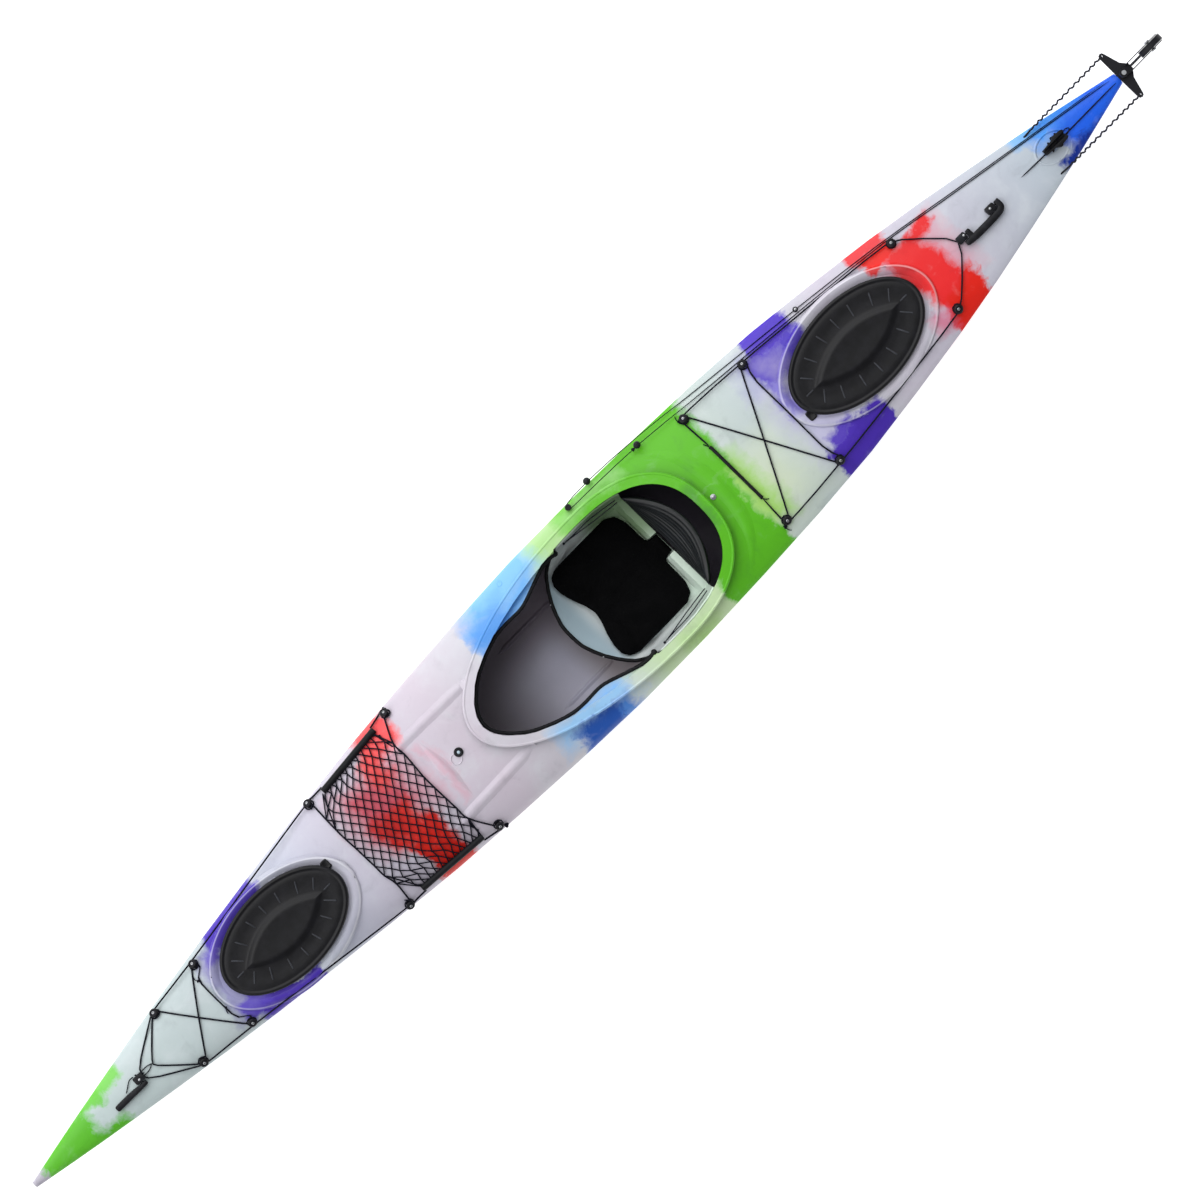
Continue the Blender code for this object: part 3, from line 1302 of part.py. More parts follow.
def make_rudder():
    """Bracket and pin on the sternpost, the steered yoke and head, and the lifting blade."""
    metal = grey_metal()
    dark = black_metal()
    stern = -HULL_LENGTH / 2
    px = pin_x()
    plate_x = stern - SEAT_GAP
    low, high = (rudder_z(height) for height in BRACKET_LUGS)
    top = high + BRACKET_LUG_HEIGHT / 2
    pin_top = rudder_z(PIN_TOP)
    bracket = block("rudder_bracket", (plate_x - BRACKET_PLATE, -BRACKET_HALF_WIDTH, low - 0.011),
                    (plate_x, BRACKET_HALF_WIDTH, top), metal)
    for z in (low, high):
        half = BRACKET_LUG_HEIGHT / 2
        lug = block("lug", (px - 0.014, -0.010, z - half), (plate_x - BRACKET_PLATE + 0.001, 0.010, z + half), metal)
        combine(bracket, lug, "UNION")
    drill(bracket, (px, 0, (low + high) / 2), (0, 0, 1), PIN_RADIUS + 0.0004)
    profile = ((0, low - 0.021), (PIN_RADIUS, low - 0.021), (PIN_RADIUS, pin_top), (0.007, pin_top),
               (0.007, pin_top + 0.0035), (0, pin_top + 0.0035))
    turned("rudder_pin", profile, 20, metal, Matrix.Translation((px, 0, 0)))

    yoke_z = rudder_z(YOKE_HEIGHT)
    yoke_top = yoke_z + YOKE_THICKNESS
    tip_x = px + 0.007
    arm = []
    for k in range(5):
        angle = math.pi / 2 - math.pi * k / 4
        arm.append((tip_x + YOKE_TIP_RADIUS * math.sin(angle), YOKE_ARM + YOKE_TIP_RADIUS * math.cos(angle)))
    half = [(px + 0.017, 0.0)] + arm + [(px - 0.016, 0.030), (px - 0.028, 0.015)]
    outline = half + [(x, -y) for x, y in reversed(half[1:])]
    yoke = prism("rudder_yoke", outline, yoke_z, yoke_top, dark)
    drill(yoke, (px, 0, yoke_z), (0, 0, 1), PIN_RADIUS + 0.0004)
    for sign in (1, -1):
        drill(yoke, (tip_x, sign * YOKE_ARM, yoke_z), (0, 0, 1), EYELET_RADIUS, 12)
    set_origin(yoke, (px, 0, yoke_z))

    bx = bolt_x()
    bolt_z = rudder_z(BOLT_HEIGHT)
    web_top = rudder_z(WEB_TOP)
    base = yoke_top + SEAT_GAP
    head = rod("rudder_head", (px, 0, base), (px, 0, rudder_z(HUB_TOP)), HUB_RADIUS, dark, 20)
    web = block("web", (px - 0.030, -CHEEK_OUTER + 0.0005, base + 0.0004), (px - 0.008, CHEEK_OUTER - 0.0005, web_top),
                dark)
    combine(head, web, "UNION")
    side = ((px - 0.014, base + 0.001), (px - 0.014, web_top + 0.001), (bx + 0.036, bolt_z + 0.006),
            (bx + 0.018, bolt_z + 0.020), (bx - 0.010, bolt_z + 0.022), (bx - 0.028, bolt_z + 0.012),
            (bx - 0.038, bolt_z - 0.010), (bx - 0.034, bolt_z - 0.044), (bx - 0.004, base + 0.001))
    upright = Matrix.Rotation(math.pi / 2, 4, "X")
    for sign in (1, -1):
        edges = sorted((sign * CHEEK_OUTER, sign * (CHEEK_OUTER - CHEEK_PLATE)))
        cheek = prism("cheek", side, -edges[1], -edges[0], dark, upright)
        combine(head, cheek, "UNION")
    drill(head, (px, 0, base), (0, 0, 1), PIN_RADIUS + 0.0004)
    drill(head, (bx, 0, bolt_z), (0, 1, 0), BOLT_RADIUS + 0.0004)
    set_origin(head, (px, 0, base))

    face = CHEEK_OUTER + SEAT_GAP
    profile = ((0, -face - 0.004), (BOLT_HEAD_RADIUS, -face - 0.004), (BOLT_HEAD_RADIUS, -face),
               (BOLT_RADIUS, -face), (BOLT_RADIUS, face), (BOLT_HEAD_RADIUS, face), (BOLT_HEAD_RADIUS, face + 0.004),
               (0, face + 0.004))
    bolt = turned("rudder_bolt", profile, 20, metal, Matrix.Translation((bx, 0, bolt_z)) @ upright)
    set_origin(bolt, (bx, 0, bolt_z))

    blade = rod("rudder_blade", (bx, -BLADE_HEAD_HALF_WIDTH, bolt_z), (bx, BLADE_HEAD_HALF_WIDTH, bolt_z),
                BLADE_HEAD_RADIUS, dark, 32)
    outline = [(bx + x, bolt_z + z) for x, z in BLADE_OUTLINE]
    fin = prism("fin", outline, -BLADE_THICKNESS / 2, BLADE_THICKNESS / 2, dark, upright)
    combine(blade, fin, "UNION")
    drill(blade, (bx, 0, bolt_z), (0, 1, 0), BOLT_RADIUS + 0.0004)
    set_origin(blade, (bx, 0, bolt_z))


def make_stow(deck, envelope):
    """Grooved chock that holds the raised blade, and its cord to the stern."""
    x = from_stern(CHOCK_FROM_STERN)
    half = CHOCK_LENGTH / 2
    top = deck_z(x, 0) + CHOCK_RISE
    low = top - CHOCK_GROOVE_DEPTH
    foot = deck_z(x, 0) - CHOCK_FOOT_DEPTH
    rings = []
    for place, wide in CHOCK_WIDTHS:
        groove = ((0.0080, top), (0.0045, low), (-0.0045, low), (-0.0080, top))
        points = ((-wide, foot), (wide, foot), (wide, top)) + groove + ((-wide, top),)
        rings.append([(x + place * half, y, z) for y, z in points])
    chock = lofted("stow_chock", rings, black_rubber())
    combine(chock, envelope, "DIFFERENCE", keep_other=True)
    hole_z = deck.rest(x, 0.004, 0.002) + 0.0008
    drill(chock, (x, 0.004, hole_z), (1, 0, 0), 0.0026, 10)
    start = Vector((-HULL_LENGTH / 2 + 0.008, 0.004, 0))
    start.z = deck.rest(start.x, start.y, 0.002)
    tail = Vector((x + half + STOW_TAIL, 0.0, 0))
    tail.z = deck.rest(tail.x, tail.y, 0.002)
    middle = [Vector((x - s * (half + 0.004), 0.004, hole_z)) for s in (1, -1)]
    cord("stow_line", deck.taut([start] + middle + [tail], 0.002), 0.002, black_cord())


def make_steering_cables():
    """Bare wires from the yoke to the cable housings."""
    tip_x = pin_x() + 0.007
    yoke_z = rudder_z(YOKE_HEIGHT)
    for sign in (1, -1):
        y = sign * YOKE_ARM
        outer, inner = conduit_entry(sign)
        back = (outer - inner).normalized()
        end = outer + back * 0.0005
        route = [(tip_x, y, yoke_z + YOKE_THICKNESS + 0.003), (tip_x, y, yoke_z - 0.0035),
                 (tip_x + 0.012, y, yoke_z - 0.0045), tuple(end + back * 0.010), tuple(end)]
        cord(f"steering_cable_{side_name(sign)}", route, WIRE_RADIUS, grey_metal())


def make_lift_line(deck, envelope):
    """Endless cord that raises and lowers the blade, with its deck pulley, its eye and two ball grips."""
    def over_sheer(p):
        return Vector((p[0], p[1], SHEER_HEIGHT + p[2]))

    px, py, pz = over_sheer(PULLEY)
    waist = PULLEY_WAIST
    profile = ((0, -0.050), (0.007, -0.050), (0.010, -0.0055), (waist, -0.0035), (waist, 0.0035), (0.010, 0.0050),
               (0.0085, 0.0085), (0, 0.0085))
    pulley = turned("lift_pulley", profile, 14, black_plastic(), Matrix.Translation((px, py, pz)))
    combine(pulley, envelope, "DIFFERENCE", keep_other=True)

    radius = LIFT_LINE_RADIUS
    reach = (waist + radius + SEAT_GAP) / math.cos(math.pi / 8)
    turn = []
    for k in range(5):
        angle = math.radians(100 - 200 * k / 4)
        turn.append(Vector((px + reach * math.cos(angle), py + reach * math.sin(angle), pz)))

    def places(rows):
        out = []
        for x, y in rows:
            out.append(Vector((x, y, deck.rest(x, y, radius))))
        return out

    half = PAIR_SPACING / 2
    aft_inner = places(INNER_PLACES + tuple((x, y + half) for x, y in PAIR_PLACES))
    aft_outer = places(OUTER_PLACES)
    stern_outer = places((OUTER_PAST_EYE,) + tuple((x, y - half) for x, y in PAIR_PLACES))
    eye = deck.point(*EYE, lift=0.0062)
    inner = [over_sheer(p) for p in INNER_RUN]
    outer = [over_sheer(p) for p in OUTER_RUN]
    route = stern_outer[::-1] + [eye] + aft_outer[::-1] + outer[::-1] + turn[::-1] + inner + aft_inner
    cord("lift_line", deck.taut(route, radius), radius, black_cord())

    for name, run, x in (("lift_ball_inner", inner, BALL_INNER_X), ("lift_ball_outer", outer, BALL_OUTER_X)):
        along = (run[1] - run[0]).normalized()
        centre = run[0] + along * ((x - run[0].x) / along.x)
        steps = 7
        bore = radius + 0.0005
        profile = []
        first = math.asin(bore / BALL_RADIUS)
        for k in range(steps + 1):
            angle = first + (math.pi - 2 * first) * k / steps
            profile.append((BALL_RADIUS * math.sin(angle), -BALL_RADIUS * math.cos(angle)))
        rings = []
        for radius_at, height in profile:
            ring_turn = [2 * math.pi * n / 14 for n in range(14)]
            rings.append([(radius_at * math.cos(a), radius_at * math.sin(a), height) for a in ring_turn])
        frame = Matrix.Translation(centre) @ along.to_track_quat("Z", "Y").to_matrix().to_4x4()
        ball = lofted(name, rings, black_plastic(), 60.0, frame, looped=True)
        set_origin(ball, centre)

    frame = deck.frame(*EYE)
    profile = ((0, -0.006), (0.0085, -0.006), (0.0085, 0.003), (0.0055, 0.0095), (0, 0.0115))
    made = turned("line_eye", profile, 12, black_plastic(), frame)
    combine(made, envelope, "DIFFERENCE", keep_other=True)
    ahead = (aft_outer[-1] - eye).normalized() * 0.03
    behind = (stern_outer[0] - eye).normalized() * 0.03
    hole = tube("hole", [eye + ahead, eye, eye + behind], radius + 0.0008, black_plastic())
    combine(made, hole, "DIFFERENCE")


def main():
    clear_scene()
    hull = make_hull()
    deck = Deck(hull)
    envelope = hull_solid("hull_envelope", -DECK_GAP, 0, STATIONS, hull_plastic())
    guides = make_guides(deck, envelope)
    make_cords(deck, guides)
    make_net(deck, guides)
    make_handles(deck, envelope)
    make_hatches()
    make_vent_plug(deck)
    make_seat()
    make_backrest()
    make_footrests()
    make_inside()
    make_rudder()
    make_stow(deck, envelope)
    make_steering_cables()
    make_lift_line(deck, envelope)
    bpy.data.objects.remove(envelope, do_unlink=True)


main()
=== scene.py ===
import json
import math
from itertools import accumulate

import bmesh
import bpy
from mathutils import Matrix, Vector, noise
from mathutils.bvhtree import BVHTree

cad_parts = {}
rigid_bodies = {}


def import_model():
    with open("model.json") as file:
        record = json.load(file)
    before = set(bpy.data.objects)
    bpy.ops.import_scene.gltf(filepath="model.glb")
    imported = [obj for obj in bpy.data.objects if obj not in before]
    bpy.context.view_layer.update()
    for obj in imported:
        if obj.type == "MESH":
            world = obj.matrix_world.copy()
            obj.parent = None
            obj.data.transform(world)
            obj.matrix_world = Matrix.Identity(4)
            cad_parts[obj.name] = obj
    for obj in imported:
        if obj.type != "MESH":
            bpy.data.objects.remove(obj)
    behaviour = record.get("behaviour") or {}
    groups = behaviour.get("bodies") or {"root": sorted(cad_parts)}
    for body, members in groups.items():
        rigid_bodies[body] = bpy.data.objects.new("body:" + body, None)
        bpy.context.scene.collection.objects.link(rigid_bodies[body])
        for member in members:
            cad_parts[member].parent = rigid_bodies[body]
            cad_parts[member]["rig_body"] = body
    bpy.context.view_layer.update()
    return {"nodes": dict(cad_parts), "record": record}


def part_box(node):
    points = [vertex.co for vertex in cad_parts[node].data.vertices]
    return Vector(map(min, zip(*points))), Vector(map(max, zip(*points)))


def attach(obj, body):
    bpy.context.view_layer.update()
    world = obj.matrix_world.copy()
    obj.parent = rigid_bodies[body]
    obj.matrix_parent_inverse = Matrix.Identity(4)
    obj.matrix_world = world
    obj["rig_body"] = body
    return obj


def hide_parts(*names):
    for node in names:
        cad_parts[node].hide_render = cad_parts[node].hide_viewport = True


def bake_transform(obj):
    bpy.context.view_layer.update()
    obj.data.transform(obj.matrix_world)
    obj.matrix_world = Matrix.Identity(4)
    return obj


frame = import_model()

# Metres. +X is the bow, +Y is port, +Z is up.


# Camera, light and floor

VIEW_CENTRE = (-0.1081, -0.0157, 0.29)
VIEW_WIDTH = 3.498
VIEW_HEIGHT = 12.0
VIEW_TURN = math.radians(134.39)
SENSOR = 36.0


def make_camera():
    data = bpy.data.cameras.new("camera")
    data.sensor_width = SENSOR
    data.lens = SENSOR * VIEW_HEIGHT / VIEW_WIDTH
    data.clip_start = 0.1
    data.clip_end = 60.0
    cam = bpy.data.objects.new("camera", data)
    cam.location = Vector(VIEW_CENTRE) + Vector((0, 0, VIEW_HEIGHT))
    cam.rotation_euler = (0, 0, VIEW_TURN)
    bpy.context.scene.collection.objects.link(cam)
    bpy.context.scene.camera = cam


# Direction that the light comes from, its angular width in degrees, and its strength
KEY_LIGHT = ((-0.15, -0.95, 1.0), 75, 2.15)
TOP_LIGHT = ((0.90, -0.20, 0.9), 60, 1.20)
SKY_STRENGTH = 0.30
FLOOR_TONE = 0.60
FLOOR_GLOW = 0.82


def far_light(name, source, width, strength):
    data = bpy.data.lights.new(name, "SUN")
    data.angle = math.radians(width)
    data.energy = strength
    lamp = bpy.data.objects.new(name, data)
    lamp.location = Vector(source) * 4
    lamp.rotation_euler = (-Vector(source)).to_track_quat("-Z", "Y").to_euler()
    bpy.context.scene.collection.objects.link(lamp)


def make_stage():
    world = bpy.data.worlds.new("studio")
    world.use_nodes = True
    back = world.node_tree.nodes["Background"]
    back.inputs["Color"].default_value = (0.97, 0.98, 1.0, 1)
    back.inputs["Strength"].default_value = SKY_STRENGTH
    bpy.context.scene.world = world
    bpy.context.scene.view_settings.view_transform = "Standard"
    far_light("key", *KEY_LIGHT)
    far_light("top", *TOP_LIGHT)
    mesh = bpy.data.meshes.new("floor")
    mesh.from_pydata([(-60, -60, 0), (60, -60, 0), (60, 60, 0), (-60, 60, 0)], [], [(0, 1, 2, 3)])
    floor = bpy.data.objects.new("floor", mesh)
    floor.location.z = -0.0005
    bpy.context.scene.collection.objects.link(floor)
    paper = bpy.data.materials.new("paper")
    paper.use_nodes = True
    shader = paper.node_tree.nodes["Principled BSDF"]
    shader.inputs["Base Color"].default_value = (FLOOR_TONE, FLOOR_TONE, FLOOR_TONE, 1)
    shader.inputs["Roughness"].default_value = 0.9
    shader.inputs["Emission Color"].default_value = (1, 1, 1, 1)
    shader.inputs["Emission Strength"].default_value = FLOOR_GLOW
    mesh.materials.append(paper)


make_camera()
make_stage()


# Node building

def srgb(red, green, blue):
    """Linear colour from 0-255 display values."""
    out = []
    for value in (red, green, blue):
        v = value / 255
        out.append(v / 12.92 if v <= 0.04045 else ((v + 0.055) / 1.055) ** 2.4)
    return (*out, 1.0)


class Tree:
    """Short calls for building a node tree."""

    def __init__(self, tree):
        self.tree = tree

    def add(self, kind, **settings):
        node = self.tree.nodes.new(kind)
        for key, value in settings.items():
            setattr(node, key, value)
        return node

    def put(self, socket, value):
        if isinstance(value, bpy.types.NodeSocket):
            self.tree.links.new(value, socket)
        else:
            socket.default_value = value

    def math(self, operation, *values, clamp=False):
        node = self.add("ShaderNodeMath", operation=operation, use_clamp=clamp)
        for socket, value in zip(node.inputs, values):
            self.put(socket, value)
        return node.outputs[0]

    def plus(self, first, second):
        return self.math("ADD", first, second)

    def minus(self, first, second):
        return self.math("SUBTRACT", first, second)

    def times(self, first, *others):
        for value in others:
            first = self.math("MULTIPLY", first, value)
        return first


class Material(Tree):
    """One material, on the object's own coordinates. Colours are 0-255 display values or sockets."""

    def __init__(self, name, **sockets):
        self.material = bpy.data.materials.new(name)
        self.material.use_nodes = True
        super().__init__(self.material.node_tree)
        self.shader = self.tree.nodes["Principled BSDF"]
        for key, value in sockets.items():
            self.shader.inputs[key.replace("_", " ")].default_value = value
        self.place = self.add("ShaderNodeTexCoord").outputs["Object"]

    def step(self, value, low, high):
        """0 below low and 1 above high, smooth between."""
        node = self.add("ShaderNodeMapRange", interpolation_type="SMOOTHSTEP")
        for socket, given in zip(node.inputs, (value, low, high, 0.0, 1.0)):
            self.put(socket, given)
        return node.outputs[0]

    def noise(self, scale, detail, roughness, distortion=0.0, stretch=None, output="Fac"):
        place = self.place
        if stretch:
            node = self.add("ShaderNodeMapping")
            self.put(node.inputs["Vector"], place)
            node.inputs["Scale"].default_value = stretch
            place = node.outputs[0]
        node = self.add("ShaderNodeTexNoise")
        for key, value in (("Vector", place), ("Scale", scale), ("Detail", detail),
                           ("Roughness", roughness), ("Distortion", distortion)):
            self.put(node.inputs[key], value)
        return node.outputs[output]

    def mix(self, share, first, second):
        node = self.add("ShaderNodeMix", data_type="RGBA")
        self.put(node.inputs[0], share)
        for socket, value in ((6, first), (7, second)):
            self.put(node.inputs[socket], srgb(*value) if isinstance(value, tuple) else value)
        return node.outputs[2]

    def split(self, vector):
        node = self.add("ShaderNodeSeparateXYZ")
        self.put(node.inputs[0], vector)
        return node.outputs

    def surface(self, colour, roughness):
        self.put(self.shader.inputs["Base Color"], colour)
        self.put(self.shader.inputs["Roughness"], roughness)

    def bump(self, height, strength, distance):
        node = self.add("ShaderNodeBump")
        node.inputs["Strength"].default_value = strength
        node.inputs["Distance"].default_value = distance
        self.put(node.inputs["Height"], height)
        normal = self.shader.inputs["Normal"]
        if normal.links:
            self.tree.links.new(normal.links[0].from_socket, node.inputs["Normal"])
        self.tree.links.new(node.outputs[0], normal)


# Hull plastic: pale resin with ragged clouds of colour

# Inputs of a cloud: x of its aft edge at the starboard and the port side, x of its fore edge likewise,
# y limits, width of its soft edge, strength
CLOUD_SOCKETS = ("Aft starboard", "Aft port", "Fore starboard", "Fore port", "Low", "High", "Feather",
                 "Strength")
# Each cloud: its red, green and blue, and its inputs
CLOUDS = (
    # stern
    (34, 100, 236, -2.4, -2.4, -2.015, -2.04, -0.12, 0.12, 0.022, 1.0),
    (20, 50, 150, -2.4, -2.4, -1.95, -1.945, 0.044, 0.16, 0.01, 1.0),
    (60, 148, 240, -2.16, -2.12, -1.93, -1.945, -0.15, -0.02, 0.022, 0.95),
    (110, 180, 244, -1.97, -1.97, -1.875, -1.9, -0.15, -0.06, 0.014, 0.8),
    (14, 92, 226, -2.18, -2.18, -2.03, -2.03, -0.04, 0.02, 0.025, 0.8),
    # aft end of the rear hatch
    (226, 128, 148, -1.575, -1.57, -1.48, -1.49, -0.1, 0.07, 0.045, 0.65),
    (224, 104, 132, -1.42, -1.42, -1.365, -1.37, -0.11, 0.02, 0.035, 0.6),
    (226, 34, 20, -1.552, -1.55, -1.408, -1.41, 0.058, 0.3, 0.009, 1.0),
    (232, 40, 42, -1.52, -1.524, -1.396, -1.4, -0.116, 0.08, 0.016, 1.0),
    (228, 30, 34, -1.58, -1.55, -1.46, -1.47, -0.124, -0.084, 0.01, 1.0),
    (214, 116, 146, -1.42, -1.42, -1.35, -1.355, 0.1, 0.165, 0.022, 0.85),
    (238, 34, 26, -1.456, -1.454, -1.322, -1.332, -0.166, -0.104, 0.007, 1.0),
    (228, 40, 46, -1.45, -1.452, -1.304, -1.306, -0.26, -0.16, 0.01, 0.95),
    # fore end of the rear hatch
    (186, 178, 222, -1.0, -1.01, -0.85, -0.862, -0.1, 0.165, 0.04, 0.6),
    (72, 44, 172, -1.1, -1.102, -0.868, -0.872, 0.158, 0.32, 0.008, 1.0),
    (82, 54, 186, -0.985, -0.985, -0.912, -0.912, 0.128, 0.17, 0.012, 0.95),
    (78, 58, 182, -1.078, -1.075, -0.885, -0.898, -0.182, -0.082, 0.012, 1.0),
    (78, 52, 190, -1.078, -1.078, -0.925, -0.925, -0.3, -0.17, 0.008, 1.0),
    (118, 104, 204, -0.93, -0.93, -0.865, -0.865, -0.2, -0.12, 0.045, 0.6),
    (104, 88, 200, -0.925, -0.925, -0.886, -0.886, -0.09, 0.018, 0.014, 0.75),
    (168, 160, 200, -0.985, -0.985, -0.93, -0.93, -0.15, -0.095, 0.03, 0.65),
    # round the back of the cockpit
    (208, 222, 182, -0.8, -0.8, -0.64, -0.64, 0.0, 0.19, 0.08, 0.7),
    (192, 222, 160, -0.5, -0.45, -0.02, -0.04, -0.34, 0.34, 0.07, 0.75),
    (156, 210, 92, -0.692, -0.712, -0.62, -0.62, -0.06, 0.205, 0.03, 0.9),
    (90, 182, 30, -0.65, -0.634, -0.36, -0.385, -0.02, 0.34, 0.01, 1.0),
    (94, 186, 32, -0.684, -0.646, -0.17, -0.36, -0.34, -0.01, 0.014, 1.0),
    (148, 200, 84, -0.3, -0.3, -0.2, -0.2, 0.262, 0.34, 0.04, 0.7),
    (152, 214, 112, -0.21, -0.21, -0.055, -0.055, -0.28, -0.2, 0.055, 0.75),
    # painted highlight on the starboard side of the coaming ring
    (156, 216, 128, -0.42, -0.42, -0.18, -0.18, -0.266, -0.222, 0.016, 0.6),
    # painted shade on the coaming ring's aft edge
    (76, 132, 66, -0.53, -0.53, -0.502, -0.502, -0.075, 0.075, 0.012, 0.55),
    # beside the thighs
    (150, 200, 242, 0.0, 0.01, 0.255, 0.262, 0.16, 0.236, 0.03, 0.95),
    (64, 130, 216, 0.03, 0.03, 0.215, 0.215, 0.226, 0.34, 0.02, 0.95),
    (30, 84, 178, 0.08, 0.084, 0.214, 0.216, 0.22, 0.34, 0.014, 0.95),
    (124, 190, 246, -0.055, -0.05, 0.205, 0.205, -0.34, -0.2, 0.035, 0.95),
    (104, 176, 242, -0.01, -0.005, 0.238, 0.25, -0.222, -0.14, 0.025, 0.9),
    (60, 134, 216, 0.112, 0.102, 0.236, 0.242, -0.196, -0.138, 0.022, 0.8),
    (84, 152, 232, 0.1, 0.1, 0.232, 0.245, -0.25, -0.165, 0.03, 0.75),
    # foredeck under the net
    (218, 132, 150, 0.63, 0.64, 0.862, 0.865, -0.15, 0.05, 0.045, 0.8),
    (200, 70, 88, 0.68, 0.69, 0.842, 0.845, -0.143, 0.02, 0.026, 0.92),
    (214, 34, 22, 0.668, 0.668, 0.792, 0.798, 0.07, 0.34, 0.01, 1.0),
    (214, 38, 30, 0.692, 0.684, 0.842, 0.835, -0.02, 0.1, 0.02, 1.0),
    (232, 56, 54, 0.672, 0.69, 0.738, 0.76, -0.19, -0.085, 0.016, 0.9),
    (248, 74, 76, 0.578, 0.6, 0.712, 0.705, -0.34, -0.15, 0.014, 0.95),
    (190, 24, 22, 0.76, 0.76, 0.825, 0.825, -0.01, 0.05, 0.02, 0.8),
    (214, 164, 180, 0.548, 0.548, 0.58, 0.58, -0.108, 0.118, 0.014, 0.6),
    # round the fore end of the front hatch
    (142, 138, 188, 1.4, 1.4, 1.5, 1.5, -0.1, 0.1, 0.02, 0.85),
    (68, 44, 166, 1.222, 1.226, 1.444, 1.446, 0.142, 0.3, 0.007, 1.0),
    (78, 54, 176, 1.974, 1.154, 1.446, 1.444, 0.092, 0.165, 0.01, 1.0),
    (94, 74, 194, 1.37, 1.373, 1.466, 1.48, 0.056, 0.118, 0.01, 0.9),
    (74, 50, 178, 1.186, 1.19, 1.418, 1.424, -0.26, -0.078, 0.01, 1.0),
    (88, 66, 186, 1.385, 1.385, 1.458, 1.458, -0.108, -0.058, 0.014, 0.85),
    # bow
    (122, 208, 84, 1.862, 1.862, 2.3, 2.3, -0.12, -0.05, 0.01, 0.95),
    (110, 200, 70, 1.935, 1.935, 2.3, 2.3, -0.12, -0.03, 0.01, 0.95),
    (90, 184, 40, 1.93, 1.908, 2.3, 2.3, 0.03, 0.14, 0.014, 1.0),
    (94, 188, 44, 2.004, 2.016, 2.3, 2.3, -0.12, 0.12, 0.014, 1.0),
    (186, 182, 194, 2.205, 2.208, 2.5, 2.5, -0.12, 0.12, 0.008, 1.0),
)
# Pale resin along the boat: place from the stern, colour
RESIN = ((-2.3, (186, 194, 206)), (-1.9, (184, 194, 204)), (-1.5, (198, 194, 208)), (-1.2, (200, 194, 208)),
         (-0.8, (192, 204, 204)), (-0.5, (200, 214, 200)), (0.0, (206, 214, 218)), (0.45, (204, 194, 206)),
         (0.85, (200, 194, 208)), (1.1, (190, 192, 208)), (1.5, (188, 200, 202)), (2.2, (194, 210, 208)))
HULL_SPAN = (-2.3, 2.3)


def cloud_group():
    """Node group: how much of one cloud of colour lies at a place."""
    group = Tree(bpy.data.node_groups.new("cloud", "ShaderNodeTree"))
    for name in ("X", "Y", *CLOUD_SOCKETS):
        group.tree.interface.new_socket(name, in_out="INPUT", socket_type="NodeSocketFloat")
    group.tree.interface.new_socket("Share", in_out="OUTPUT", socket_type="NodeSocketFloat")
    given = group.add("NodeGroupInput").outputs
    across = group.math("MULTIPLY_ADD", given["Y"], 2.5, 0.5, clamp=True)
    edges = []
    for end in ("Aft", "Fore"):
        wide = group.minus(given[f"{end} port"], given[f"{end} starboard"])
        edges.append(group.math("MULTIPLY_ADD", wide, across, given[f"{end} starboard"]))
    inside = group.minus(given["X"], edges[0])
    for side in (group.minus(edges[1], given["X"]), group.minus(given["Y"], given["Low"]),
                 group.minus(given["High"], given["Y"])):
        inside = group.math("SMOOTH_MIN", inside, side, 0.02)
    share = group.math("DIVIDE", inside, given["Feather"])
    share = group.math("MULTIPLY_ADD", share, 0.5, 0.5, clamp=True)
    group.put(group.add("NodeGroupOutput").inputs["Share"], group.times(share, given["Strength"]))
    return group.tree


PHOTO_STEP = 0.002915


def from_photo(along, across):
    """Place of a point measured in the photo, in its own steps: along the boat from the stern, and across it
    to starboard."""
    return (along - 769) * PHOTO_STEP, -(across + 3) * PHOTO_STEP


# Crest of the rise round each cover: centre in photo steps, half length and half width
COLLAR_RINGS = ((369.2, -4.2, (0.2785, 0.1700)), (1189.0, -5.8, (0.2625, 0.1615)))


def collar_painted_light(m, x, y, base):
    """Painted highlight along the crest round each cover, and painted shade on the slope's starboard side."""
    for along, across, reach in COLLAR_RINGS:
        centre = from_photo(along, across)
        shares = [m.math("DIVIDE", m.minus(value, middle), half)
                  for value, middle, half in zip((x, y), centre, reach)]
        ring = m.plus(*(m.times(share, share) for share in shares))
        # Painted shade: a dark tone inside the crest on the starboard side of each cover's slope
        shade = m.times(m.step(ring, 1.01, 0.98), m.step(shares[1], 0.10, -0.45), 0.34)
        base = m.mix(shade, base, (60, 58, 68))
        # Painted highlight: a pale line along each crest
        crest = m.step(m.math("ABSOLUTE", m.minus(ring, 1.01)), 0.035, 0.010)
        base = m.mix(m.times(crest, 0.28), base, (246, 246, 250))
    return base


def resin_tone(m, x):
    low, high = HULL_SPAN
    node = m.add("ShaderNodeValToRGB")
    m.put(node.inputs[0], m.math("DIVIDE", m.minus(x, low), high - low))
    stops = node.color_ramp.elements
    while len(stops) < len(RESIN):
        stops.new(0.5)
    for stop, (place, colour) in zip(stops, RESIN):
        stop.position = (place - low) / (high - low)
        stop.color = srgb(*colour)
    return node.outputs[0]


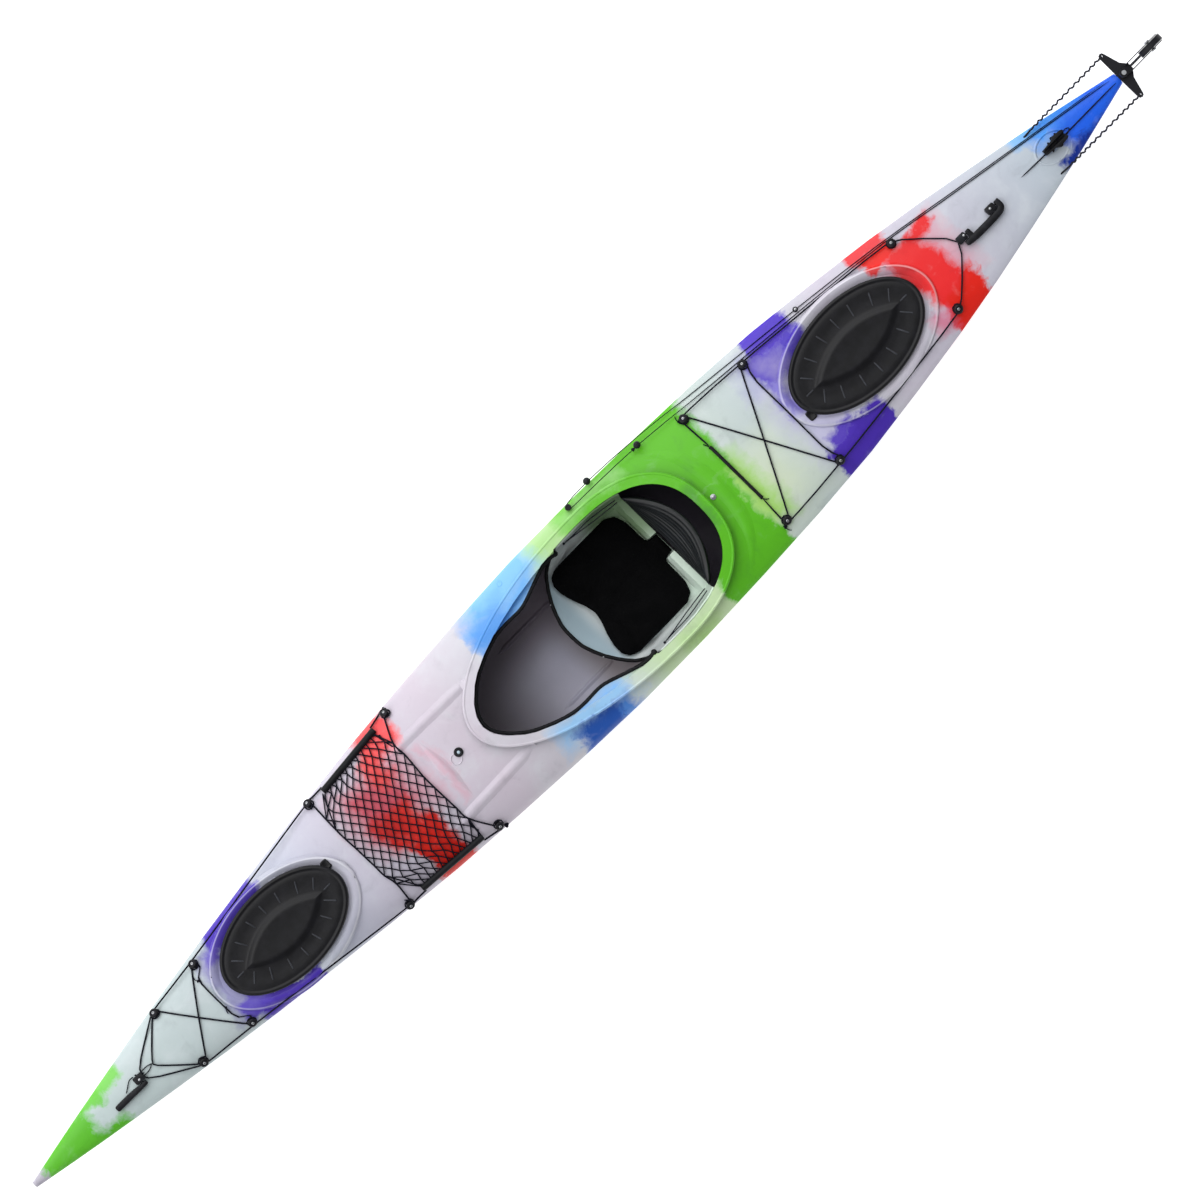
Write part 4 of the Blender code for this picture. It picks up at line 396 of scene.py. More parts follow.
def hull_material():
    m = Material("blended_hull_plastic", Roughness=0.36, IOR=1.49, Specular_IOR_Level=0.26,
                 Coat_Weight=0.08, Coat_Roughness=0.2)
    x, y, z = m.split(m.place)
    # Noise of three sizes shifts the place where the clouds are read, which makes their edges ragged
    ragged = [m.noise(*values, output="Color")
              for values in ((5.5, 3.0, 0.55), (34.0, 5.0, 0.62, 0.6), (120.0, 3.0, 0.7, 0.3))]
    moved = []
    for axis, start, amounts in ((0, x, (0.055, 0.027, 0.007)), (1, y, (0.050, 0.025, 0.007))):
        shift = 0.0
        for source, amount in zip(ragged, amounts):
            shift = m.plus(shift, m.times(m.minus(m.split(source)[axis], 0.5), 2 * amount))
        moved.append(m.plus(start, shift))
    base = resin_tone(m, x)
    milk = m.noise(9.0, 4.0, 0.6, 0.4)
    base = m.mix(m.times(m.step(milk, 0.45, 0.75), 0.35), base, (216, 222, 226))
    group = cloud_group()
    for row in CLOUDS:
        node = m.add("ShaderNodeGroup", node_tree=group)
        for key, value in zip(("X", "Y", *CLOUD_SOCKETS), (*moved, *row[3:])):
            m.put(node.inputs[key], value)
        base = m.mix(node.outputs[0], base, row[:3])
    # Uneven density of the pigment, and pale flecks in it
    depth = m.noise(16.0, 5.0, 0.6, 0.5)
    base = m.mix(m.times(m.step(depth, 0.55, 0.85), 0.16), base, (226, 228, 232))
    base = m.mix(m.times(m.step(depth, 0.48, 0.20), 0.14), base, (30, 36, 60))
    # Painted highlight on each cover's crest and painted shade on its starboard slope
    base = collar_painted_light(m, x, y, base)
    # Inner side of the shell: painted shade, a grey over the pale resin
    nx, ny, nz = m.split(m.add("ShaderNodeNewGeometry").outputs["True Normal"])
    floor_in = m.times(m.step(nz, 0.05, 0.25), m.step(z, 0.185, 0.165))
    roof_in = m.times(m.step(nz, -0.30, -0.5), m.step(z, 0.215, 0.225))
    wall_in = m.times(m.step(m.times(ny, y, -1.0), 0.004, 0.02), m.step(z, 0.222, 0.212))
    inner = m.math("MAXIMUM", m.math("MAXIMUM", floor_in, roof_in), wall_in)
    inner_shade_paint = m.mix(m.noise(6.0, 4.0, 0.6), (168, 168, 184), (196, 194, 210))
    # Painted shade: a little darker aft of amidships, much darker towards the bow under the foredeck, darker
    # to starboard, darkest aft behind the seat
    for share, tone in ((m.step(x, 0.10, 0.0), (158, 150, 154)), (m.step(x, 0.10, 0.40), (108, 102, 110)),
                        (m.step(y, 0.03, -0.12), (118, 110, 120)), (m.step(x, -0.30, -0.40), (52, 46, 60))):
        inner_shade_paint = m.mix(share, inner_shade_paint, tone)
    rough = m.plus(m.times(m.step(depth, 0.3, 0.8), 0.10), 0.33)
    m.surface(m.mix(inner, base, inner_shade_paint), m.plus(rough, m.times(inner, 0.25)))
    m.bump(m.noise(22.0, 2.0, 0.5), 0.10, 0.004)
    m.bump(m.noise(380.0, 3.0, 0.6), 0.10, 0.0005)
    return m.material


def seat_material():
    m = Material("white_seat_plastic", Roughness=0.42, IOR=1.49, Coat_Weight=0.12, Coat_Roughness=0.2)
    x, y = m.split(m.place)[:2]
    tone = m.noise(11.0, 4.0, 0.6)
    base = m.mix(tone, (206, 214, 214), (226, 232, 232))
    # Painted reflection: a light green tint on the seat's aft part, from the green deck round it
    green = m.times(m.step(m.plus(x, m.times(tone, 0.12)), -0.10, -0.33), 0.55)
    base = m.mix(green, base, (214, 240, 212))
    # Painted shade on the starboard aft side of the seat
    base = m.mix(m.times(m.step(y, 0.02, -0.09), m.step(x, -0.18, -0.26)), base, (132, 160, 122))
    base = m.mix(m.step(x, -0.075, -0.015), base, (180, 202, 214))
    m.surface(base, m.plus(m.times(tone, 0.12), 0.36))
    m.bump(m.noise(420.0, 2.0, 0.5), 0.12, 0.0004)
    return m.material


def moulded_material(name, dark, light, rough, grain=600.0, coat=0.0, shine=0.16):
    """Moulded rubber or plastic: faint dust, fine grain and worn, lighter edges."""
    m = Material(name, IOR=1.5, Specular_IOR_Level=shine, Coat_Weight=coat, Coat_Roughness=0.3)
    dust = m.noise(38.0, 5.0, 0.65)
    base = m.mix(m.step(dust, 0.35, 0.8), dark, light)
    edge = m.add("ShaderNodeNewGeometry").outputs["Pointiness"]
    base = m.mix(m.times(m.step(edge, 0.52, 0.62), 0.35), base, light)
    speck = m.noise(900.0, 1.0, 0.5)
    base = m.mix(m.times(m.step(speck, 0.72, 0.80), 0.25), base, (90, 92, 96))
    m.surface(base, m.plus(m.times(dust, 0.22), rough - 0.11))
    m.bump(m.noise(grain, 2.0, 0.6), 0.25, 0.0003)
    return m.material


def metal_material(name, dark, light, rough, metallic):
    m = Material(name, Metallic=metallic, Specular_IOR_Level=0.2)
    scratch = m.noise(60.0, 4.0, 0.7, stretch=(1.0, 9.0, 9.0))
    m.surface(m.mix(scratch, dark, light), m.plus(m.times(scratch, 0.2), rough - 0.1))
    m.bump(scratch, 0.12, 0.0002)
    return m.material


def braid_material(name, dark, light):
    """Braided cord: small crossing strands, dull."""
    m = Material(name, Specular_IOR_Level=0.10)
    strand = m.add("ShaderNodeTexVoronoi", feature="F1")
    m.put(strand.inputs["Vector"], m.place)
    strand.inputs["Scale"].default_value = 900.0
    cells = strand.outputs["Distance"]
    m.surface(m.mix(m.step(cells, 0.1, 0.7), light, dark), 0.78)
    m.bump(m.minus(1.0, cells), 0.5, 0.0006)
    return m.material


def foam_material(name, dark, light, scale=1400.0, shine=0.06, rough=0.86):
    """Foam with a fine knitted skin."""
    m = Material(name, Specular_IOR_Level=shine)
    lines = []
    for direction in ("X", "Y"):
        wave = m.add("ShaderNodeTexWave", wave_type="BANDS", bands_direction=direction)
        for key, value in (("Vector", m.place), ("Scale", scale / 6), ("Distortion", 1.2),
                           ("Detail Scale", 2.0)):
            m.put(wave.inputs[key], value)
        lines.append(wave.outputs["Fac"])
    weave = m.times(*lines)
    worn = m.step(m.noise(14.0, 5.0, 0.6), 0.4, 0.8)
    m.surface(m.mix(m.times(worn, 0.8), m.mix(weave, dark, light), light), rough)
    m.bump(weave, 0.35, 0.0005)
    m.bump(m.noise(240.0, 3.0, 0.6), 0.15, 0.0006)
    return m.material


# Each finish: its material and its slot. The first finish of a slot also dresses CAD nodes that stay in view.
FINISH = {
    "hull": (hull_material(), "hull_plastic"),
    "seat": (seat_material(), "seat_plastic"),
    "rubber": (moulded_material("black_rubber", (15, 15, 17), (30, 31, 35), 0.52), "rubber"),
    "cover_rubber": (moulded_material("hatch_rubber", (13, 13, 16), (21, 21, 26), 0.36, 420.0, shine=0.26),
                     "rubber"),
    # Painted highlight: the hatch ribs are the lids' black rubber made lighter, as if catching the light
    "rib_rubber": (moulded_material("hatch_ribs", (44, 45, 49), (70, 72, 78), 0.4, 420.0, shine=0.2),
                   "rubber"),
    "plastic": (moulded_material("black_plastic", (16, 16, 19), (36, 37, 43), 0.40, 700.0, 0.06),
                "black_plastic"),
    "foam": (foam_material("black_foam", (3, 3, 4), (12, 12, 13)), "foam"),
    "backrest": (foam_material("backrest_foam", (10, 11, 13), (30, 34, 38), 1400.0, 0.5, 0.42), "foam"),
    "grey_foam": (foam_material("grey_foam", (74, 74, 78), (96, 96, 100), 600.0), "grey_foam"),
    "cord": (braid_material("black_cord", (10, 10, 16), (40, 40, 56)), "cord"),
    "steel": (metal_material("brushed_steel", (150, 152, 156), (206, 208, 210), 0.34, 1.0), "metal"),
    "wire": (metal_material("steel_wire", (24, 24, 30), (56, 56, 64), 0.45, 0.6), "metal"),
    "dark_metal": (metal_material("coated_metal", (14, 14, 17), (32, 32, 38), 0.46, 0.0), "dark_metal"),
}


def dress_frame():
    """Gives every carried-over CAD node the material of its slot."""
    plain = {slot: material for material, slot in reversed(FINISH.values())}
    for part in frame["record"]["subparts"]:
        for place in frame["nodes"][part["node"]].material_slots:
            place.link = "OBJECT"
            place.material = plain[part["material_slot"]]


dress_frame()


# Mesh building. A mesh is a list of points and a list of faces.

def turns(count):
    """Angles that part a full turn evenly."""
    return [2 * math.pi * k / count for k in range(count)]


def bent(value, power):
    """Power of a value's size, with its own sign."""
    return math.copysign(abs(value) ** power, value)


def ease(t):
    return t * t * (3 - 2 * t)


def joined(parts):
    """One mesh from several."""
    points, faces = [], []
    for more_points, more_faces in parts:
        shift = len(points)
        points += more_points
        faces += [tuple(i + shift for i in face) for face in more_faces]
    return points, faces


def loft(rings, closed=False):
    """Skin over rings of points, with a face at each open end. A ring may be a single point."""
    start = [0, *accumulate(len(ring) for ring in rings)]
    faces = []
    for k in range(len(rings) if closed else len(rings) - 1):
        n = (k + 1) % len(rings)
        a, b = start[k], start[n]
        sides = max(len(rings[k]), len(rings[n]))
        for j in range(sides):
            m = (j + 1) % sides
            if len(rings[k]) == 1:
                faces.append((a, b + m, b + j))
            elif len(rings[n]) == 1:
                faces.append((a + j, a + m, b))
            else:
                faces.append((a + j, a + m, b + m, b + j))
    if not closed and len(rings[0]) > 1:
        faces.append(tuple(reversed(range(len(rings[0])))))
    if not closed and len(rings[-1]) > 1:
        faces.append(tuple(range(start[-2], start[-1])))
    return [p for ring in rings for p in ring], faces


def tube_mesh(route, radius, sides=8, closed=False):
    """Round tube along a route."""
    count = len(route)
    rings = []
    normal = None
    for k, p in enumerate(route):
        before = route[(k - 1) % count] if closed or k else p
        after = route[(k + 1) % count] if closed or k + 1 < count else p
        along = (after - before).normalized()
        if normal is None:
            normal = along.orthogonal().normalized()
        normal = (normal - along * normal.dot(along)).normalized()
        side = along.cross(normal)
        rings.append([p + (normal * math.cos(t) + side * math.sin(t)) * radius for t in turns(sides)])
    return loft(rings, closed)


def turned_mesh(profile, sides, place):
    """Round body from (radius, height) pairs."""
    rings = []
    for radius, height in profile:
        around = turns(sides) if radius else (0.0,)
        rings.append([place @ Vector((radius * math.cos(t), radius * math.sin(t), height)) for t in around])
    return loft(rings)


def smooth_route(points, steps=6, closed=False):
    """Catmull-Rom curve through the points."""
    points = [Vector(p) for p in points]
    count = len(points)
    out = []
    for k in range(count if closed else count - 1):
        if closed:
            p = [points[(k + i) % count] for i in (-1, 0, 1, 2)]
        else:
            p = [points[max(k - 1, 0)], points[k], points[k + 1], points[min(k + 2, count - 1)]]
        for j in range(steps):
            t = j / steps
            out.append(0.5 * (2 * p[1] + (p[2] - p[0]) * t + (2 * p[0] - 5 * p[1] + 4 * p[2] - p[3]) * t * t
                              + (3 * p[1] - p[0] - 3 * p[2] + p[3]) * t ** 3))
    if not closed:
        out.append(points[-1])
    return out


def node_mesh(name):
    """Mesh of a CAD node."""
    data = frame["nodes"][name].data
    return [v.co.copy() for v in data.vertices], [tuple(p.vertices) for p in data.polygons]


def standing(up):
    """Turn that takes Z to up and keeps X ahead."""
    ahead = (Vector((1, 0, 0)) - up * up.x).normalized()
    return Matrix((ahead, up.cross(ahead), up)).transposed().to_4x4()


class Surface:
    """Upper surface of a CAD node."""

    def __init__(self, name):
        self.tree = BVHTree.FromPolygons(*node_mesh(name))

    def hit(self, x, y):
        """Place and normal straight below a point above the boat, or else those nearest to it."""
        found = self.tree.ray_cast(Vector((x, y, 0.6)), Vector((0, 0, -1)))
        return (found if found[0] else self.tree.find_nearest(Vector((x, y, 0.3))))[:2]

    def z(self, x, y):
        return self.hit(x, y)[0].z

    def point(self, x, y, lift):
        place, normal = self.hit(x, y)
        return place + normal * lift


deck = Surface("hull_shell")


def shade(mesh, angle):
    mesh.shade_smooth()
    mesh.set_sharp_from_angle(angle=math.radians(angle))


def mesh_piece(name, parts, finish, angle=40.0, body="boat"):
    """A piece joined from meshes in the row frame, smooth but for edges sharper than the angle."""
    points, faces = joined(parts)
    mesh = bpy.data.meshes.new(name)
    mesh.from_pydata([tuple(p) for p in points], [], faces)
    build = bmesh.new()
    build.from_mesh(mesh)
    bmesh.ops.remove_doubles(build, verts=build.verts, dist=1e-6)
    bmesh.ops.recalc_face_normals(build, faces=build.faces)
    build.to_mesh(mesh)
    build.free()
    material, slot_name = FINISH[finish]
    mesh.materials.append(material)
    shade(mesh, angle)
    piece = bpy.data.objects.new(name, mesh)
    bpy.context.scene.collection.objects.link(piece)
    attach(piece, body)
    return piece


def modify(thing, kind, **settings):
    change = thing.modifiers.new(kind.lower(), kind)
    for key, value in settings.items():
        setattr(change, key, value)


def applied(thing, name):
    """Replaces an object's mesh by what its modifiers make of it."""
    graph = bpy.context.evaluated_depsgraph_get()
    made = bpy.data.meshes.new_from_object(thing.evaluated_get(graph), depsgraph=graph)
    made.name = name
    thing.modifiers.clear()
    thing.data = made


def smooth_copy(node, finish, angle, bevel=0.0, finer=False, grow=0.0):
    """Piece with a CAD node's own shape, shaded smooth and put in its place. It may have rounded edges, a
    finer mesh or a little more thickness."""
    name = f"{node}_skin"
    piece = mesh_piece(name, [node_mesh(node)], finish, angle, frame["nodes"][node]["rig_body"])
    if bevel or finer:
        build = bmesh.new()
        build.from_mesh(piece.data)
        if bevel:
            bmesh.ops.dissolve_limit(build, angle_limit=math.radians(0.5), verts=build.verts,
                                     edges=build.edges)
        else:
            bmesh.ops.join_triangles(build, faces=build.faces, angle_face_threshold=0.9,
                                     angle_shape_threshold=3.1)
        build.to_mesh(piece.data)
        build.free()
    if bevel:
        modify(piece, "BEVEL", width=bevel, segments=2, angle_limit=math.radians(30))
    if grow:
        modify(piece, "DISPLACE", strength=grow, mid_level=0.0)
    if finer:
        modify(piece, "SUBSURF", levels=1, render_levels=1)
    if piece.modifiers:
        applied(piece, name)
        shade(piece.data, angle)
    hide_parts(node)
    return piece


smooth_copy("hull_shell", "hull", 32.0)
smooth_copy("seat_pan", "seat", 40.0)
smooth_copy("leg_opening_trim", "rubber", 60.0, grow=0.0022, finer=True)
for cord_name in ("deck_line_stern", "deck_line_bow", "bungee_rear", "bungee_bow", "stow_line"):
    smooth_copy(cord_name, "cord", 60.0, grow=0.0003, finer=True)
smooth_copy("lift_line", "cord", 60.0, grow=-0.0003, finer=True)
# Cross line of each bungee: node, x limit that picks it out, shift, half width that stays at the guides
CROSS_LINES = (("bungee_bow", 1.4790, 0.0320, 0.104), ("bungee_rear", -0.8900, 0.0165, 0.185))


def shift_cross_lines():
    """Each cross line runs on the fore side of its guides."""
    for node, limit, shift, wide in CROSS_LINES:
        for v in bpy.data.objects[f"{node}_skin"].data.vertices:
            if v.co.x < limit:
                v.co.x += shift * ease(max(0.0, min(1.0, (wide - abs(v.co.y)) / 0.030)))


shift_cross_lines()
smooth_copy("bungee_sleeve", "rubber", 50.0)
for sleeve_name in ("net_sleeve_port", "net_sleeve_starboard"):
    smooth_copy(sleeve_name, "rubber", 50.0, grow=0.0028)
for mount_name in ("handle_mount_stern_aft", "handle_mount_stern_fore", "handle_mount_bow"):
    smooth_copy(mount_name, "plastic", 40.0, bevel=0.0025)


# Hatch covers

# Each cover: name, x and z of its seat, its upward direction, half length and half width, turn about its axis
HATCHES = (("rear", -1.160, 0.29368, (0.01784, 0, 0.99984), (0.2434, 0.1450), 0.0),
           ("front", 1.218, 0.33663, (-0.00521, 0, 0.99999), (0.2280, 0.1377), math.pi))
COVER_TOP = 0.0218
COVER_UNDER = 0.0158
# Rim, from the underside over the edge to the top: place inwards of the edge, height
COVER_RIM = ((0.0112, 0.0008), (0.0040, 0.0006), (0.0010, 0.0012), (0.0, 0.0030), (0.0, 0.0095),
             (0.0008, 0.0100), (0.0008, 0.0118), (0.0, 0.0124), (0.0002, 0.0165), (0.0012, 0.0196),
             (0.0034, 0.0219), (0.0062, 0.0230), (0.0085, 0.0231), (0.0105, 0.0226), (0.0120, 0.0216),
             (0.0135, 0.0210), (0.0160, 0.0210), (0.0180, 0.0213), (0.0210, 0.0218), (0.0320, 0.0219))
COVER_SIDES = 120
COVER_IN = 0.032
# Raised lens: half length at the rear cover, half width, height, run of its slope lengthwise and crosswise
LENS = (0.172, 0.062)
LENS_RISE = 0.0076
LENS_SLOPE = 0.014
LENS_STRETCH = 1.6
# Share of the slope's run, share of the lens's height
LENS_PROFILE = ((0.10, 0.08), (0.30, 0.30), (0.85, 0.90), (1.05, 1.0), (1.5, 1.0))
RIB_TURNS = (0, 28, 50, 72, 90, 108, 130, 152, 180, 208, 230, 252, 270, 288, 310, 332)
RIB_SECTION = ((-0.0028, -0.0016), (-0.0018, 0.0019), (0, 0.0029), (0.0018, 0.0019), (0.0028, -0.0016))
# Share of the rib's length, share of its full size
RIB_SWELL = ((0.0, 0.2), (0.04, 0.9), (0.12, 1.0), (0.85, 0.8), (1.0, 0.15))
# Pull tab: y, half size, and its outline's scale at each height
TAB_Y = 0.047
TAB_SIZE = (0.0125, 0.0160)
TAB_OUT = 0.0060
TAB_PROFILE = ((0.90, 0.0012), (1.0, 0.0024), (1.0, 0.0072), (0.93, 0.0086), (0.72, 0.0088), (0.60, 0.0078))


def lens_point(length, width, turn):
    """Place on an oval with pointed ends."""
    c, s = math.cos(turn), math.sin(turn)
    return length * c, width * s * abs(s) ** 0.9


def cover_rings(size, length):
    """Rings of the lid from the middle of its underside to the middle of its top."""
    def oval(inset, height):
        return [((size[0] - inset) * math.cos(t), (size[1] - inset) * math.sin(t), height)
                for t in turns(COVER_SIDES)]

    def lens(inset, height):
        return [(*lens_point(length - LENS_STRETCH * inset, LENS[1] - inset, t), height)
                for t in turns(COVER_SIDES)]

    rings = [[(0, 0, COVER_UNDER)], oval(COVER_RIM[0][0], COVER_UNDER)]
    rings += [oval(inset, height) for inset, height in COVER_RIM]
    for part in (0.30, 0.60, 0.88, 1.0):
        sag = 0.0012 * math.sin(math.pi * part)
        rings.append([(a[0] + (b[0] - a[0]) * part, a[1] + (b[1] - a[1]) * part, COVER_TOP - sag)
                      for a, b in zip(oval(COVER_IN, 0), lens(0, 0))])
    rings += [lens(LENS_SLOPE * part, COVER_TOP + LENS_RISE * rise) for part, rise in LENS_PROFILE]
    base = lens(LENS_SLOPE * LENS_PROFILE[-1][0], 0)
    for part in (0.66, 0.33):
        height = COVER_TOP + LENS_RISE * (0.90 + 0.1 * part ** 2)
        rings.append([(p[0] * part, p[1] * part, height) for p in base])
    return rings + [[(0, 0, COVER_TOP + LENS_RISE * 0.90)]]


def rib_rings(size, length, turn):
    """Low rib that runs from the rim towards the lens."""
    far = Vector(((size[0] - 0.036) * math.cos(turn), (size[1] - 0.036) * math.sin(turn), 0))
    span = Vector((*lens_point(length, LENS[1], turn), 0)) - far
    along = span.normalized()
    near = far + along * min(span.length - 0.008, 0.040)
    side = Vector((-along.y, along.x, 0))
    rings = []
    for part, swell in RIB_SWELL:
        ring = []
        for across, height in RIB_SECTION:
            rise = COVER_TOP + (height * swell if height > 0 else height)
            ring.append(far.lerp(near, part) + side * across * (0.5 + 0.5 * swell) + Vector((0, 0, rise)))
        rings.append(ring)
    return rings


def tab_rings(size):
    """Pull tab, with a pressed finger ridge."""
    centre = size[0] * math.sqrt(1 - (TAB_Y / size[1]) ** 2) + TAB_OUT
    rings = []
    for scale, height in TAB_PROFILE:
        rings.append([(centre + TAB_SIZE[0] * bent(math.cos(t), 0.45) * scale,
                       TAB_Y + TAB_SIZE[1] * bent(math.sin(t), 0.45) * scale, height) for t in turns(24)])
    return rings


def make_hatch_cover(name, x, z, up, size, turn):
    place = Matrix.Translation((x, 0, z)) @ standing(Vector(up).normalized()) @ Matrix.Rotation(turn, 4, "Z")
    length = LENS[0] + size[0] - HATCHES[0][4][0]

    def placed(rings):
        return loft([[place @ Vector(p) for p in ring] for ring in rings])

    body = f"hatch_{name}_body"
    lid = [placed(cover_rings(size, length)), placed(tab_rings(size))]
    cover = mesh_piece(f"hatch_lid_{name}", lid, "cover_rubber", 50.0, body)
    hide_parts(f"hatch_cover_{name}")
    # Ribs in a lighter rubber, a painted highlight
    ribs = [placed(rib_rings(size, length, math.radians(degrees))) for degrees in RIB_TURNS]
    mesh_piece(f"hatch_ribs_{name}", ribs, "rib_rubber", 60.0, body)


for hatch in HATCHES:
    make_hatch_cover(*hatch)


# Foredeck net

NET_COLUMNS = 10
NET_ROWS = 10
NET_RADIUS = 0.0021
NET_EDGE_RADIUS = 0.0026
NET_LIFT = 0.0058
NET_SIDE_INSET = 0.0122
NET_WOBBLE = 0.0020
NET_SWAY = 0.0012
NET_SEED = 5
NET_KNOT = ((0.0, -0.0020), (0.0022, -0.0013), (0.0029, 0.0), (0.0022, 0.0015), (0.0, 0.0021))
# Ends of the mesh, from its starboard side to its port side: share across, x
NET_AFT = ((0.0, 0.635), (0.10, 0.611), (0.22, 0.610), (0.5, 0.618), (0.78, 0.616), (0.90, 0.613),
           (1.0, 0.625))
NET_FORE = ((0.0, 0.860), (0.05, 0.866), (0.13, 0.905), (0.30, 0.906), (0.5, 0.903), (0.70, 0.902),
            (0.82, 0.903), (0.92, 0.868), (1.0, 0.849))
SIDES = {1: "port", -1: "starboard"}


def table_value(table, place):
    """Smooth value between the rows of a table."""
    for (a, low), (b, high) in zip(table, table[1:]):
        if place <= b:
            return low + (high - low) * ease((place - a) / (b - a))


def guide_centre(name, side):
    low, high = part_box(f"line_guide_{name}_{side}")
    return (Vector(low) + Vector(high)) / 2


def raised(p, height):
    return p + Vector((0, 0, height))


def make_net():
    """Knotted diamond net: thin strands with a knot at each crossing, and thicker cords round them."""
    noise.seed_set(NET_SEED)
    aft = {s: guide_centre("net_aft", side) for s, side in SIDES.items()}
    fore = {s: guide_centre("net_fore", side) for s, side in SIDES.items()}
    columns, rows = 2 * NET_COLUMNS, 2 * NET_ROWS
    places = {}

    def guide_line(x, s):
        t = (x - aft[s].x) / (fore[s].x - aft[s].x)
        return aft[s].y + (fore[s].y - aft[s].y) * t

    def node(column, row):
        key = (column, row)
        if key not in places:
            t, across = column / columns, row / rows
            start, end = table_value(NET_AFT, across), table_value(NET_FORE, across)
            x = start + (end - start) * t
            low, high = (guide_line(x, s) - s * NET_SIDE_INSET for s in (-1, 1))
            y = low + (high - low) * across
            if 0 < column < columns and 0 < row < rows:
                wobble = noise.noise_vector(Vector((column * 0.4, row * 0.4, 3.1)))
                x += wobble.x * NET_WOBBLE
                y += wobble.y * NET_WOBBLE
            lift = NET_LIFT + 0.0006 * noise.noise(Vector((column * 0.9, row * 0.9, 8.0)))
            places[key] = deck.point(x, y, lift)
        return places[key]

    parts = []
    for column in range(columns):
        for row in range(1 - column % 2, rows + 1, 2):
            for step in (-1, 1):
                if not 0 <= row + step <= rows:
                    continue
                a, b = node(column, row), node(column + 1, row + step)
                sway = noise.noise_vector(Vector(((len(parts) + 1) * 0.37, 1.7, 0.2))) * NET_SWAY
                sway.z *= 0.2
                parts.append(tube_mesh([a, (a + b) / 2 + sway, b], NET_RADIUS, 6))
    squeeze = Matrix.Diagonal((1.15, 0.85, 1.0, 1.0))
    for (column, row), p in places.items():
        turn = Matrix.Rotation(0.9 * column + 0.6 * row, 4, "Z")
        parts.append(turned_mesh(NET_KNOT, 6, Matrix.Translation(raised(p, 0.0004)) @ turn @ squeeze))
    strands = mesh_piece("net_strands", parts, "cord", 60.0)

    parts = []
    for end, ties, reach in ((0, aft, 0.010), (columns, fore, -0.008)):
        inner = [raised(node(end, row), 0.0014) for row in range(rows + 1)
                 if (end + row) % 2 and 0.09 < row / rows < 0.91]
        tie = {s: deck.point(at.x + reach, at.y - s * 0.011, 0.0068) for s, at in ties.items()}
        parts.append(tube_mesh(smooth_route([tie[-1]] + inner + [tie[1]], 4), NET_EDGE_RADIUS))
        # Corner strands run on from the sleeve's end to the border
        for s in (-1, 1):
            corner = node(end, 0 if s < 0 else rows)
            for k in (1, 2):
                goal = inner[k - 1] if s < 0 else inner[-k]
                route = [corner.lerp(goal, 0.02 * k), raised((corner + goal) / 2, 0.0012), goal]
                parts.append(tube_mesh(route, NET_RADIUS, 6))
    # Cords that tie each sleeve's ends to the guides
    for s in (-1, 1):
        low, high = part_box(f"net_sleeve_{SIDES[s]}")
        for at, x, ahead in ((aft[s], low.x, 1), (fore[s], high.x, -1)):
            route = [deck.point(at.x + ahead * 0.0036, at.y + s * 0.0095, 0.0052),
                     deck.point(at.x + ahead * 0.018, at.y + s * 0.004, 0.0060),
                     deck.point(x + ahead * 0.004, guide_line(x, s), 0.0080)]
            parts.append(tube_mesh(smooth_route(route), 0.0029))
    mesh_piece("net_borders", parts, "cord", 60.0)
    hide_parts("foredeck_net")


make_net()


# Screws, rivets and other small hardware. A profile is radius and height.

GUIDE_HEIGHT = 0.0199
GUIDE_PROFILE = ((0, -0.002), (0.0088, -0.002), (0.0088, 0.0030), (0.0062, 0.0036), (0.0060, 0.0148),
                 (0.0130, 0.0154), (0.0137, 0.0162), (0.0136, 0.0174), (0.0124, 0.0190), (0.0100, 0.0203),
                 (0.0087, 0.0206), (0.0080, 0.0202), (0.0074, 0.0186), (0, 0.0186))
WASHER_PROFILE = ((0, 0.0180), (0.0072, 0.0180), (0.0072, 0.0192), (0.0064, 0.0196), (0, 0.0196))
SCREW_SEAT = 0.0196
SCREW_RADIUS = 0.0046
SCREW_RISE = 0.0020
# Pan head and its cross recess, as shares of the screw's radius and rise
SCREW_PROFILE = ((0, -0.4), (0.98, -0.4), (1, 0), (0.96, 0.42), (0.80, 0.80), (0.55, 0.97), (0.38, 1), (0, 1))
RECESS_LENGTH = 0.62
RECESS_WIDTH = 0.13
RECESS_HEIGHTS = (0.6, 1.03)
# Dome of the screw in the lift line's eye
EYE_SCREW = ((0, -0.0010), (0.0042, -0.0010), (0.0044, 0.0002), (0.0036, 0.0014), (0.0018, 0.0021),
             (0, 0.0023))


def screw_parts(place):
    """Head and recess of a screw."""
    profile = [(radius * SCREW_RADIUS, height * SCREW_RISE) for radius, height in SCREW_PROFILE]
    bars = []
    for turn in (0.4, 0.4 + math.pi / 2):
        along = Vector((math.cos(turn), math.sin(turn), 0)) * SCREW_RADIUS
        side = Vector((-along.y, along.x, 0)) * RECESS_WIDTH
        along *= RECESS_LENGTH
        bars.append(loft([[place @ (along * a + side * b + Vector((0, 0, height * SCREW_RISE)))
                           for a, b in ((-1, -1), (1, -1), (1, 1), (-1, 1))] for height in RECESS_HEIGHTS]))
    return turned_mesh(profile, 24, place), bars


def guide_frame(name):
    """Frame at a guide's foot, with Z along its axis."""
    data = frame["nodes"][name].data
    low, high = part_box(name)
    guess = deck.hit((low.x + high.x) / 2, (low.y + high.y) / 2)[1]
    flat = [p for p in data.polygons if p.normal.dot(guess) > 0.95]
    top = max(p.center.dot(guess) for p in flat)
    faces = [p for p in flat if p.center.dot(guess) > top - 0.002]
    up = sum((p.normal * p.area for p in faces), Vector()).normalized()
    rim = {tuple(round(c, 6) for c in data.vertices[i].co) for p in faces for i in p.vertices}
    centre = sum((Vector(c) for c in rim), Vector()) / len(rim)
    return Matrix.Translation(centre - up * GUIDE_HEIGHT) @ standing(up)


